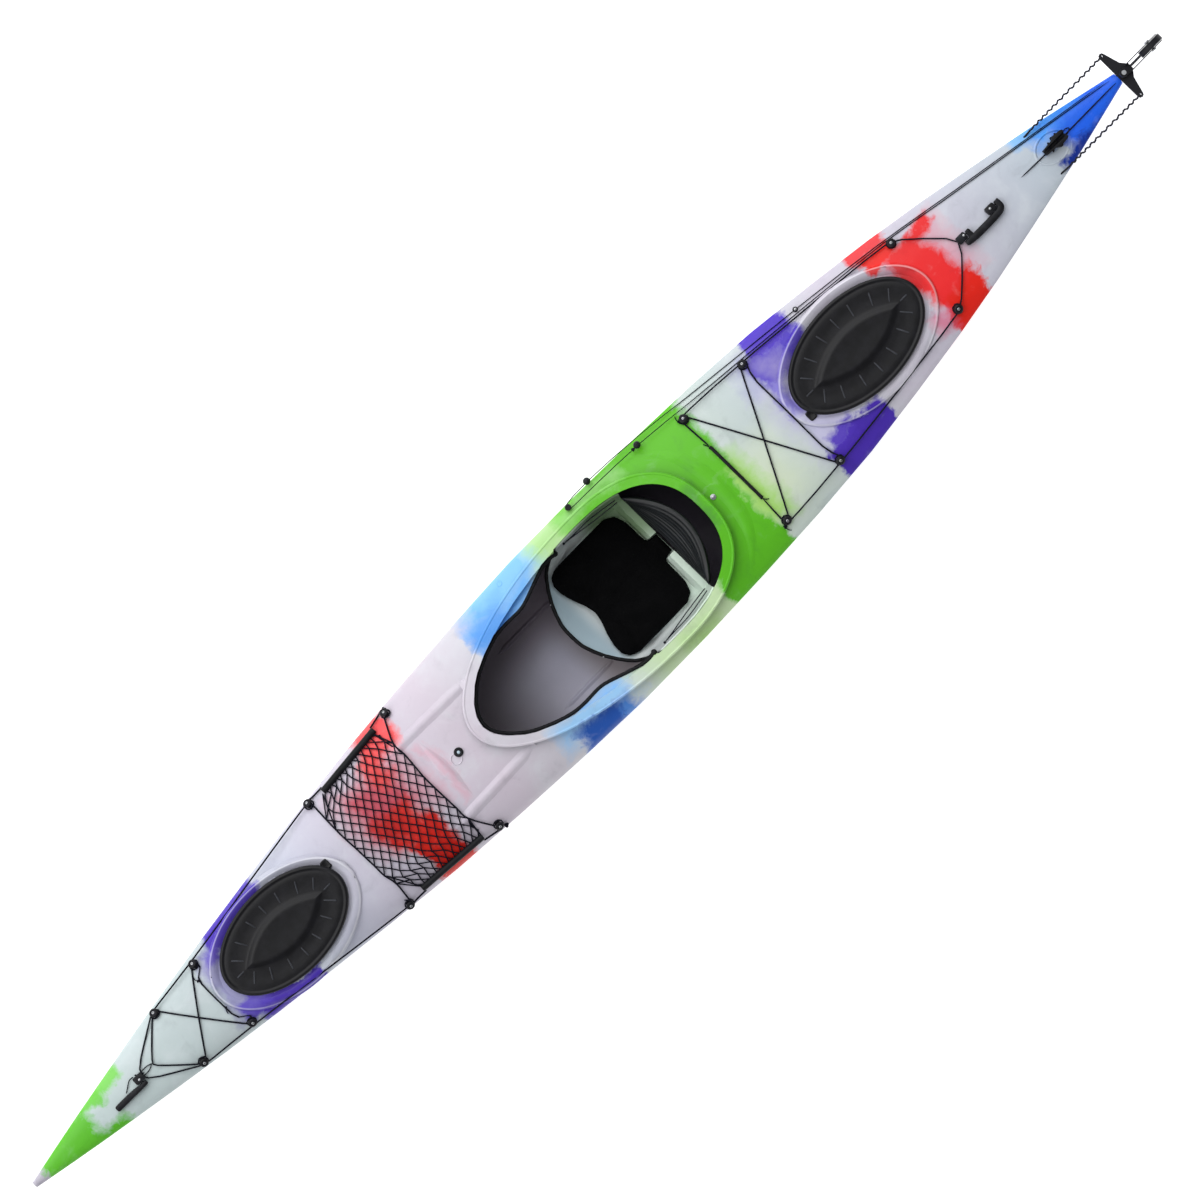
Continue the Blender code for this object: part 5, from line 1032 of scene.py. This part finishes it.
def make_guides():
    """Round guides with a dished cap, a washer and a screw, and a turn of cord round each waist."""
    wraps, washers = [], []
    names = [part["node"] for part in frame["record"]["subparts"] if part["node"].startswith("line_guide")]
    for count, name in enumerate(names):
        place = guide_frame(name)
        short = name.replace("line_guide_", "")
        cap = mesh_piece(f"guide_{short}", [turned_mesh(GUIDE_PROFILE, 32, place)], "plastic")
        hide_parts(name)
        head, bars = screw_parts(place @ Matrix.Translation((0, 0, SCREW_SEAT)))
        mesh_piece(f"guide_screw_{short}", [head], "steel")
        mesh_piece(f"guide_screw_slot_{short}", bars, "dark_metal")
        washers.append(turned_mesh(WASHER_PROFILE, 28, place))
        loop = []
        for turn in turns(28):
            c, s = math.cos(turn), math.sin(turn)
            reach = 0.0141 + 0.0013 * noise.noise(Vector((2 * c, 2 * s, 3.7 * count)))
            loop.append(place @ Vector((reach * c, reach * s, 0.0062 + 0.0030 * math.sin(turn + count))))
        wraps.append(tube_mesh(loop, 0.0022, closed=True))
    mesh_piece("guide_washers", washers, "wire")
    low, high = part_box("line_eye")
    top = Matrix.Translation(((low[0] + high[0]) / 2, (low[1] + high[1]) / 2, high[2]))
    mesh_piece("eye_screw", [turned_mesh(EYE_SCREW, 24, top)], "steel")
    mesh_piece("guide_wraps", wraps, "cord", 60.0)


make_guides()

RIVETS = ((-0.024, 0.2085), (0.010, 0.1985), (0.0240, 0.0060), (-0.004, -0.1080), (-0.050, -0.2050),
          (0.0, 0.1280), (0.130, 0.1700), (0.130, -0.1700), (0.290, 0.1285), (0.290, -0.1285))
RIVET_PROFILE = ((0, -0.0012), (0.0024, -0.0012), (0.0024, 0.0), (0.0018, 0.0009), (0.0008, 0.0013),
                 (0, 0.0014))
TRIM_ENDS = ((-0.106, 0.209), (-0.117, -0.198))
TRIM_END_PROFILE = ((0, -0.0080), (0.0055, -0.0068), (0.0085, -0.0034), (0.0092, 0.0008), (0.0080, 0.0050),
                    (0.0048, 0.0076), (0, 0.0085))


def mean_point(points):
    return sum(points, Vector()) / len(points)


def make_rivets():
    """Small bright rivets along the rubber edge of the leg opening, and the round ends of that edge."""
    trim = Surface("leg_opening_trim")
    line = node_mesh("leg_opening_trim")[0]

    def trim_centre(x, y, reach):
        near = min(line, key=lambda p: (p.x - x) ** 2 + (p.y - y) ** 2)
        return mean_point([p for p in line if (p - near).length < reach])

    rivets = []
    for place in RIVETS:
        centre = trim_centre(*place, 0.014)
        top = trim.hit(centre.x, centre.y)[0]
        rivets.append(turned_mesh(RIVET_PROFILE, 16, Matrix.Translation(top)))
    mesh_piece("trim_rivets", rivets, "steel")
    ends = [turned_mesh(TRIM_END_PROFILE, 20, Matrix.Translation(trim_centre(*place, 0.012)))
            for place in TRIM_ENDS]
    mesh_piece("trim_ends", ends, "rubber", 60.0)


make_rivets()

# Round fastener behind the cockpit
STUD_PLACE = (-0.554, 0.010)
STUD_PROFILE = ((0, -0.002), (0.0088, -0.002), (0.0092, 0.0006), (0.0084, 0.0020), (0.0060, 0.0026),
                (0.0052, 0.0026), (0.0048, 0.0042), (0.0030, 0.0052), (0, 0.0054))


def make_stud():
    foot, up = deck.hit(*STUD_PLACE)
    place = Matrix.Translation(foot) @ standing(up)
    mesh_piece("deck_stud", [turned_mesh(STUD_PROFILE, 28, place)], "steel")


make_stud()


# Shapes moulded into the deck

COAMING = {"widest": -0.201, "rear": 0.334, "front": 0.627, "half_width": 0.248}
# Section of a ridge: share of its half width, share of its height
RIDGE_SECTION = ((-1.0, 0.0), (-0.72, 0.16), (-0.42, 0.62), (-0.16, 0.96), (0.16, 0.96), (0.42, 0.62),
                 (0.72, 0.16), (1.0, 0.0))
RIDGE_SINK = 0.0007
# Section of the rise round a cover, from outside its crest to the cover: metres inwards, share of its height
COLLAR_SECTION = ((-0.0080, 0.0), (-0.0048, 0.45), (-0.0020, 0.90), (0.0005, 1.0), (0.0035, 0.92),
                  (0.0100, 0.67), (0.0180, 0.34), (0.0240, 0.10), (0.0275, 0.0))
COLLAR_HEIGHT = 0.0085


def ridge_mesh(route, width, height, taper=0.25, closed=False, section=RIDGE_SECTION):
    """Soft raised line on the deck; an open one fades out at both ends."""
    rings = []
    count = len(route)
    for k, (x, y) in enumerate(route):
        t = k / (count - 1)
        swell = 1.0 if closed else ease(min(1.0, t / taper, (1 - t) / taper))
        before = Vector(route[(k - 1) % count] if closed or k else route[0])
        after = Vector(route[(k + 1) % count] if closed or k + 1 < count else route[-1])
        along = (after - before).normalized()
        ring = []
        for across, share in section:
            reach = across * width / 2 * (0.35 + 0.65 * swell)
            lift = height * swell * share - RIDGE_SINK * (1 - share)
            ring.append(deck.point(x - along.y * reach, y + along.x * reach, lift))
        rings.append(ring + [raised(ring[-1], -0.0015), raised(ring[0], -0.0015)])
    return loft(rings, closed)


def ring_route(along, across, reach, count):
    x, y = from_photo(along, across)
    return [(x + reach[0] * math.cos(t), y + reach[1] * math.sin(t)) for t in turns(count)]


def coaming_outline(out, count=160, start=0.0, end=2 * math.pi):
    """Plan of the coaming lip's outer edge, moved outwards."""
    route = []
    for k in range(count):
        turn = start + (end - start) * k / count
        c, s = math.cos(turn), math.sin(turn)
        length, power = (COAMING["front"], 2.0) if c > 0 else (COAMING["rear"], 2.5)
        route.append((COAMING["widest"] + (length + out) * bent(c, 2 / power),
                      (COAMING["half_width"] + out) * bent(s, 2 / power)))
    return route


def make_deck_shapes():
    arch = [from_photo(960.2, b) for b in range(-46, 36, 4)]
    creases = ([from_photo(a, -52 - 0.03 * (a - 900)) for a in range(880, 1004, 4)],
               [from_photo(a, 42 + 0.02 * (a - 900)) for a in range(880, 1000, 4)])
    floor_lines = ([from_photo(a, -50) for a in range(762, 842, 4)],
                   [from_photo(a, 38) for a in range(762, 850, 4)])
    behind_coaming = coaming_outline(0.052, 60, 0.70 * math.pi, 1.30 * math.pi)
    parts = [ridge_mesh(arch, 0.044, 0.0080, 0.45)]
    parts += [ridge_mesh(line, 0.044, 0.0062, 0.16) for line in creases]
    for ring, width, height in ((ring_route(945.4, -6.2, (0.0165, 0.0165), 32), 0.0066, 0.0026),
                                (ring_route(92.5, -4.0, (0.056, 0.044), 40), 0.014, 0.0032),
                                (ring_route(790.9, 86.1, (0.0075, 0.0075), 20), 0.0044, 0.0016),
                                (ring_route(795.4, -94.5, (0.0070, 0.0060), 20), 0.0044, 0.0016)):
        parts.append(ridge_mesh(ring, width, height, closed=True))
    parts.append(ridge_mesh(behind_coaming, 0.060, 0.0046, 0.4))
    parts += [ridge_mesh(line, 0.020, 0.0075, 0.15) for line in floor_lines]
    # The deck dips towards each cover. The width of 2 makes a place in the section a distance in metres.
    for along, across, reach in COLLAR_RINGS:
        parts.append(ridge_mesh(ring_route(along, across, reach, 96), 2.0, COLLAR_HEIGHT, closed=True,
                                section=COLLAR_SECTION))
    mesh_piece("deck_mouldings", parts, "hull", 60.0)

    # Rolled outer edge of the coaming lip
    edge = [Vector((x, y, deck.z(*inner) - 0.0042))
            for (x, y), inner in zip(coaming_outline(-0.0022), coaming_outline(-0.010))]
    smooth = [(edge[k - 1] + edge[k] * 2 + edge[(k + 1) % len(edge)]) / 4 for k in range(len(edge))]
    mesh_piece("coaming_edge", [tube_mesh(smooth, 0.0052, 12, closed=True)], "hull", 60.0)


make_deck_shapes()

VENT_SINK = 0.0045
VENT_PROFILE = ((0, -0.016), (0.0075, -0.016), (0.0077, 0), (0.0140, 0), (0.0143, 0.0012), (0.0138, 0.0030),
                (0.0120, 0.0044), (0.0092, 0.0047), (0.0076, 0.0042), (0.0062, 0.0026), (0, 0.0026))
VENT_DOT_PROFILE = ((0, 0.0020), (0.0048, 0.0020), (0.0048, 0.0032), (0.0036, 0.0042), (0, 0.0045))


def make_vent():
    low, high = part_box("vent_plug")
    place = Matrix.Translation(((low.x + high.x) / 2, (low.y + high.y) / 2, high.z - VENT_SINK))
    plug = mesh_piece("vent_cap", [turned_mesh(VENT_PROFILE, 36, place)], "plastic", body="vent_plug_body")
    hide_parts("vent_plug")
    mesh_piece("vent_cap_centre", [turned_mesh(VENT_DOT_PROFILE, 24, place)], "seat", body="vent_plug_body")


make_vent()


# Cord knots and tails

def knot_mesh(centre, size, turn=0.0):
    """Overhand knot as one closed tube."""
    route = []
    for t in turns(36):
        p = Vector((math.sin(t) + 2 * math.sin(2 * t), math.cos(t) - 2 * math.cos(2 * t),
                    -1.1 * math.sin(3 * t)))
        route.append(centre + Matrix.Rotation(turn, 3, "Z") @ p * 0.0014 * size)
    return tube_mesh(route, 0.0016 * size, 6, closed=True)


# Knot place in photo steps, size, turn, height over the deck
KNOTS = ((545.5, -41, 1.1, 0.3, 0.0062), (545.5, 29.5, 1.1, 1.2, 0.0062), (601.0, 83.0, 1.1, 0.5, 0.0120),
         (1283.0, -15.0, 0.9, 0.2, 0.0055), (1283.4, 22.5, 0.9, 1.4, 0.0055),
         (549.5, -78.5, 1.2, 0.4, 0.0060), (548.8, 70.0, 1.2, 0.8, 0.0060), (961.5, 79.0, 1.2, 0.1, 0.0060),
         (958.5, -86.5, 1.5, 0.6, 0.0070), (1388.0, -1.5, 1.2, 0.0, 0.0060))
# Routes of the cord tails, in photo steps
TAILS = (((545.6, -42), (543.8, -45.5), (541.0, -47.5)), ((545.6, 30), (547.0, 34.0), (548.5, 37.5)),
         ((549.5, -79), (549.6, -82.5), (547.4, -85.5)), ((548.8, 70), (549.6, 73.5), (548.4, 77.0)),
         ((961.5, 79), (961.0, 82.0), (962.0, 84.4)), ((1283, -15), (1284.8, -18), (1285.6, -21)),
         ((1283.4, 22.5), (1285, 25.5), (1284.6, 28.5)), ((1374.1, -1.4), (1380, -4.2), (1388, -4.4)),
         ((1374.1, -1.4), (1380, 0.2), (1388, 0.6)),
         ((1396.8, 2.4), (1401.5, 2.6), (1406.7, -0.3), (1412.8, -4.4)),
         ((70, -4.5), (67.4, -2.6), (70, -0.6), (76, -0.8)), ((70, -4.5), (73, -5.2), (78, -4.2)))


def make_knots():
    parts = [knot_mesh(deck.point(*from_photo(a, b), lift), size, turn) for a, b, size, turn, lift in KNOTS]
    for places in TAILS:
        route = [deck.point(*from_photo(*place), 0.0040) for place in places]
        parts.append(tube_mesh(smooth_route(route, 5), 0.0015, 6))
    mesh_piece("cord_ends", parts, "cord", 60.0)


make_knots()


# Carry handles

# Centre line of each moulded bar: x, y, half width
STERN_BAR = ((-1.7440, -0.0090, 0.0090), (-1.7448, 0.0040, 0.0094), (-1.7435, 0.0150, 0.0100),
             (-1.7340, 0.0222, 0.0108), (-1.7100, 0.0246, 0.0116), (-1.6600, 0.0250, 0.0116),
             (-1.6250, 0.0240, 0.0112), (-1.5960, 0.0215, 0.0088))
STERN_LUG = ((-1.6245, 0.0220, 0.0084), (-1.6240, 0.0080, 0.0082), (-1.6240, -0.0080, 0.0074))
STERN_PINS = ((-1.750, -1.717), (-1.624, -1.597))
STERN_AXIS_Z = 0.3067
BOW_BAR = ((1.8080, 0.0218, 0.0070), (1.8300, 0.0216, 0.0078), (1.8480, 0.0200, 0.0090),
           (1.8750, 0.0186, 0.0096), (1.9060, 0.0182, 0.0098), (1.9280, 0.0180, 0.0094))
BOW_BAR_FALL = 0.08
BOW_AXIS = (1.8190, 0.3544)
BOW_PIN = (0.0218, -0.0165)
BAR_HALF_HEIGHT = 0.0076
LUG_HALF_HEIGHT = 0.0066
PIN_RADIUS = 0.0030
MOUNT_SCREW = ((0, -0.001), (0.0037, -0.001), (0.0037, 0.0006), (0.0027, 0.0015), (0, 0.0018))
# Mount, place of its screw in photo steps
MOUNTS = (("handle_mount_stern_aft", (180.4, -2.4)), ("handle_mount_stern_fore", (217.8, -2.4)),
          ("handle_mount_bow", (1393.0, -4.0)))


def bar_mesh(line, height, half_height):
    """Bar with flat faces and rounded edges along a level line; height gives the centre's z at x, y."""
    route = smooth_route(line)
    last = len(route) - 1
    rings = []
    for k, p in enumerate(route):
        before, after = route[max(k - 1, 0)], route[min(k + 1, last)]
        along = Vector((after.x - before.x, after.y - before.y, 0)).normalized()
        side = Vector((-along.y, along.x, 0))
        shrink = (0.72, 0.93, 1.0)[min(k, last - k, 2)]
        centre = Vector((p.x, p.y, height(p.x, p.y)))
        rings.append([raised(centre + side * bent(math.cos(t), 0.6) * p.z * shrink,
                             bent(math.sin(t), 0.6) * half_height * shrink) for t in turns(20)])
    return loft(rings)


def make_handles():
    """Both carry grips, and the screws in their mounts."""
    def level(x, y):
        return STERN_AXIS_Z

    def resting(x, y):
        return max(BOW_AXIS[1] - BOW_BAR_FALL * abs(x - BOW_AXIS[0]), deck.z(x, y) + BAR_HALF_HEIGHT + 0.0015)

    parts = [bar_mesh(STERN_BAR, level, BAR_HALF_HEIGHT), bar_mesh(STERN_LUG, level, LUG_HALF_HEIGHT)]
    for ends in STERN_PINS:
        parts.append(tube_mesh([Vector((x, 0, STERN_AXIS_Z)) for x in ends], PIN_RADIUS, 12))
    piece = mesh_piece("stern_grip", parts, "plastic", 50.0, "stern_handle_body")
    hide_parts("carry_handle_stern")
    axle = tube_mesh([Vector((BOW_AXIS[0], y, BOW_AXIS[1])) for y in BOW_PIN], PIN_RADIUS, 12)
    parts = [bar_mesh(BOW_BAR, resting, BAR_HALF_HEIGHT), axle]
    piece = mesh_piece("bow_grip", parts, "plastic", 50.0, "bow_handle_body")
    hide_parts("carry_handle_bow")
    screws = []
    for node, place in MOUNTS:
        top = Surface(node).hit(*from_photo(*place))[0]
        screws.append(turned_mesh(MOUNT_SCREW, 20, Matrix.Translation(top)))
    mesh_piece("mount_screws", screws, "steel")


make_handles()


# Stern chock with its cord

CHOCK_CENTRE = -1.9895
CHOCK_HALF = 0.051
# Shift along the chock, as shares of its half length: place in the solid, place in the piece
CHOCK_SHIFT = ((-1.0, -0.66), (-0.9, -0.56), (-0.5, 0.04), (-0.35, 0.20), (1.0, 0.92))
# Turns of cord round it: x, half width, slant
CHOCK_TURNS = ((-2.000, 0.0205, 0.006), (-1.990, 0.0200, -0.005), (-1.968, 0.0150, 0.005))


def make_chock():
    """The chock's widest part lies amidships, and three turns of cord hold it."""
    piece = smooth_copy("stow_chock", "rubber", 40.0, bevel=0.0022)
    for v in piece.data.vertices:
        place = (v.co.x - CHOCK_CENTRE) / CHOCK_HALF
        for (a, low), (b, high) in zip(CHOCK_SHIFT, CHOCK_SHIFT[1:]):
            if place <= b or b == 1.0:
                place = low + (high - low) * (place - a) / (b - a)
                break
        v.co.x = CHOCK_CENTRE + CHOCK_HALF * place
        v.co.y *= 1.12 - 0.42 * abs(place) ** 1.5
        v.co.y += 0.0012 * noise.noise(v.co * 70.0)
    parts = []
    for x, wide, tilt in CHOCK_TURNS:
        low = deck.z(x, 0) + 0.002
        loop = []
        for t in turns(24):
            c, s = math.cos(t), math.sin(t)
            rise = max(bent(s, 0.6), 0) * (0.0245 if abs(c) > 0.42 else 0.0135)
            loop.append(Vector((x + tilt * math.sin(t + 0.6), wide * bent(c, 0.5), low + rise)))
        parts.append(tube_mesh(loop, 0.0021, closed=True))
    mesh_piece("chock_cord", parts, "cord", 60.0)


make_chock()


# Steering wires and backrest straps, taken off their body once they are made

WIRE_TURNS = 24
WIRE_WAVES = 14
WIRE_STEPS = 170
WIRE_TWIST = 0.0015
WIRE_WAVE = 0.0024


def line_ends(node, reach):
    """Middles of the aft and the fore end of a thin CAD node."""
    line = node_mesh(node)[0]
    tips = (min(p.x for p in line), max(p.x for p in line))
    return [mean_point([p for p in line if abs(p.x - tip) < reach]) for tip in tips]


def make_wires():
    """Each wire is two twisted strands with a loose wave."""
    for side in ("port", "starboard"):
        aft, fore = line_ends(f"steering_cable_{side}", 0.004)
        across = (fore - aft).normalized().cross(Vector((0, 0, 1))).normalized()
        up = across.cross((fore - aft).normalized())
        parts = []
        for phase in (0.0, math.pi):
            route = []
            for k in range(WIRE_STEPS + 1):
                t = k / WIRE_STEPS
                turn = 2 * math.pi * WIRE_TURNS * t + phase
                slow = 2 * math.pi * WIRE_WAVES * t + 1.2 * math.sin(7 * t)
                wave = WIRE_WAVE * min(1.0, 12 * t, 12 * (1 - t))
                route.append(aft.lerp(fore, t) + (across * math.cos(turn) + up * math.sin(turn)) * WIRE_TWIST
                             + (across * math.sin(slow) + up * 0.4 * math.cos(slow)) * wave)
            parts.append(tube_mesh(route, 0.0020, 6))
        wire = mesh_piece(f"steering_wire_{side}", parts, "wire", 60.0)
        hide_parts(f"steering_cable_{side}")
        wire.parent = None
        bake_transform(wire)


make_wires()


def make_straps():
    """Each backrest strap is a doubled cord, knotted at its fore end."""
    for side in ("port", "starboard"):
        aft, fore = line_ends(f"backrest_strap_{side}", 0.003)
        out = Vector((0, math.copysign(1.0, fore.y), 0))
        parts = []
        for spread, bulge in ((0.0045, 0.0060), (-0.0045, -0.0015)):
            route = [aft + out * spread, aft.lerp(fore, 0.45) + out * (spread * 0.5 + bulge),
                     aft.lerp(fore, 0.8) + out * bulge * 0.4, fore]
            parts.append(tube_mesh(smooth_route(route, 8), 0.0016))
        parts.append(tube_mesh([fore, fore + (fore - aft).normalized() * 0.004], 0.0030))
        parts.append(knot_mesh(fore, 0.8))
        strap = mesh_piece(f"strap_cord_{side}", parts, "cord", 60.0)
        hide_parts(f"backrest_strap_{side}")
        strap.parent = None
        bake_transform(strap)


make_straps()


# Seat pad: foam in a knitted cover, crowned by a short pressure simulation

PAD_VOXEL = 0.005
PAD_CAP = 0.005
PAD_FRAMES = 20
# Pressed lines: start, end, depth, width
PAD_PRESSES = (((-0.085, 0.0), (-0.300, 0.0), 0.0022, 0.0055),
               ((-0.085, 0.004), (-0.190, 0.062), 0.0014, 0.006),
               ((-0.085, -0.004), (-0.190, -0.062), 0.0014, 0.006),
               ((-0.060, 0.100), (-0.130, 0.120), 0.0010, 0.007),
               ((-0.060, -0.100), (-0.130, -0.120), 0.0010, 0.007))


def line_distance(p, a, b):
    """Distance from a line in plan, and share of the line's length."""
    a, b, p = Vector(a), Vector(b), p.xy
    t = max(0.0, min(1.0, (p - a).dot(b - a) / (b - a).length_squared))
    return (p - a.lerp(b, t)).length, t


def crown_pad(pad):
    """The cover bulges under pressure, by no more than the cap."""
    rest = [v.co.copy() for v in pad.data.vertices]
    held = pad.vertex_groups.new(name="held")
    held.add([v.index for v in pad.data.vertices if v.normal.z < -0.2], 1.0, "REPLACE")
    cloth = pad.modifiers.new("cloth", "CLOTH").settings
    cloth.quality = 4
    cloth.use_pressure = True
    cloth.uniform_pressure_force = 4.0
    cloth.effector_weights.gravity = 0.0
    cloth.vertex_group_mass = "held"
    for step in range(1, PAD_FRAMES + 1):
        bpy.context.scene.frame_set(step)
    applied(pad, "seat_cushion")
    bpy.context.scene.frame_set(1)
    for v, p in zip(pad.data.vertices, rest):
        move = v.co - p
        if move.length > PAD_CAP:
            v.co = p + move * (PAD_CAP / move.length)
    pad.vertex_groups.clear()


def make_pad():
    pad = bpy.data.objects.new("seat_cushion", frame["nodes"]["seat_pad"].data.copy())
    bpy.context.scene.collection.objects.link(pad)
    modify(pad, "REMESH", mode="VOXEL", voxel_size=PAD_VOXEL)
    modify(pad, "DISPLACE", strength=-0.0015, mid_level=0.0)
    modify(pad, "SMOOTH", iterations=4)
    applied(pad, "seat_cushion")
    crown_pad(pad)
    modify(pad, "SUBSURF", levels=1, render_levels=1)
    applied(pad, "seat_cushion")
    for v in pad.data.vertices:
        if v.normal.z < 0.3:
            continue
        for start, end, depth, width in PAD_PRESSES:
            away, along = line_distance(v.co, start, end)
            if away < width * 2.5:
                fade = 0.35 + 0.65 * math.sin(math.pi * min(1, 0.15 + along * 0.85))
                v.co.z -= depth * math.exp(-(away / width) ** 2) * fade
        v.co.z += 0.0004 * noise.noise(v.co * 60.0)
    pad.data.materials.clear()
    pad.data.materials.append(FINISH["foam"][0])
    pad.data.shade_smooth()
    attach(pad, "boat")
    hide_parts("seat_pad")


make_pad()


# Backrest: moulded foam with curved ribs, fuller at its top roll

BACKREST_HALF_WIDTH = 0.180
BACKREST_FOOT = (-0.376, 0.132)
BACKREST_TOP = (-0.452, 0.276)
# Its ends against its middle: how far ahead, and how much lower at the top
BACKREST_END_FORWARD = 0.090
BACKREST_END_LOWER = 0.020
BACKREST_DEPTH = 0.020
BACKREST_RIBS = 8
BACKREST_COLUMNS = 64
BACKREST_ROWS = 60


def backrest_middle(u, v):
    """Place in the middle of the foam: u from 1 at the port end to -1, v from 0 at the foot to 1."""
    top_x = BACKREST_TOP[0] + BACKREST_END_FORWARD * u * u
    top_z = BACKREST_TOP[1] - BACKREST_END_LOWER * u * u
    return Vector((BACKREST_FOOT[0] + (top_x - BACKREST_FOOT[0]) * v, BACKREST_HALF_WIDTH * u,
                   BACKREST_FOOT[1] + (top_z - BACKREST_FOOT[1]) * v))


def backrest_depth(u, v, side):
    """Distance from the middle of the foam to its front, side 1, or its back, side -1."""
    round_up = math.sqrt(max(0.0, 1 - abs(2 * v - 1) ** 7))
    round_side = math.sqrt(max(0.0, 1 - abs(u) ** 10))
    depth = BACKREST_DEPTH / 2 * round_up * round_side
    if side > 0:
        inside = max(0.0, min(1.0, (v - 0.05) / 0.83))
        wave = abs(math.sin(math.pi * BACKREST_RIBS * inside)) ** 0.45 if 0 < inside < 1 else 0.0
        panel = max(0.0, 1 - abs(u) ** 6)
        depth += 0.0046 * wave * panel * round_up
        if v > 0.90:
            depth += 0.0036 * math.sin(math.pi * min(1.0, (v - 0.90) / 0.10)) * round_side
        depth -= 0.0012 * (1 - panel) * round_side
    return depth


def make_backrest():
    columns, rows = BACKREST_COLUMNS, BACKREST_ROWS
    places = [(1 - 2 * j / columns, i / rows) for i in range(rows + 1) for j in range(columns + 1)]
    wide = columns + 1
    grid = [backrest_middle(u, v) for u, v in places]

    def normal(k):
        i, j = divmod(k, wide)
        upward = grid[min(i + 1, rows) * wide + j] - grid[max(i - 1, 0) * wide + j]
        across = grid[i * wide + min(j + 1, columns)] - grid[i * wide + max(j - 1, 0)]
        n = upward.cross(across).normalized()
        return n if n.x > 0 else -n

    points = [grid[k] + normal(k) * side * backrest_depth(u, v, side)
              for side in (1, -1) for k, (u, v) in enumerate(places)]
    faces = []
    for i in range(rows):
        for j in range(columns):
            a = i * wide + j
            b = a + len(grid)
            faces += [(a, a + 1, a + wide + 1, a + wide), (b, b + wide, b + wide + 1, b + 1)]
    back = mesh_piece("backrest_cushion", [(points, faces)], "backrest", 70.0, "backrest_body")
    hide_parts("backrest")


make_backrest()
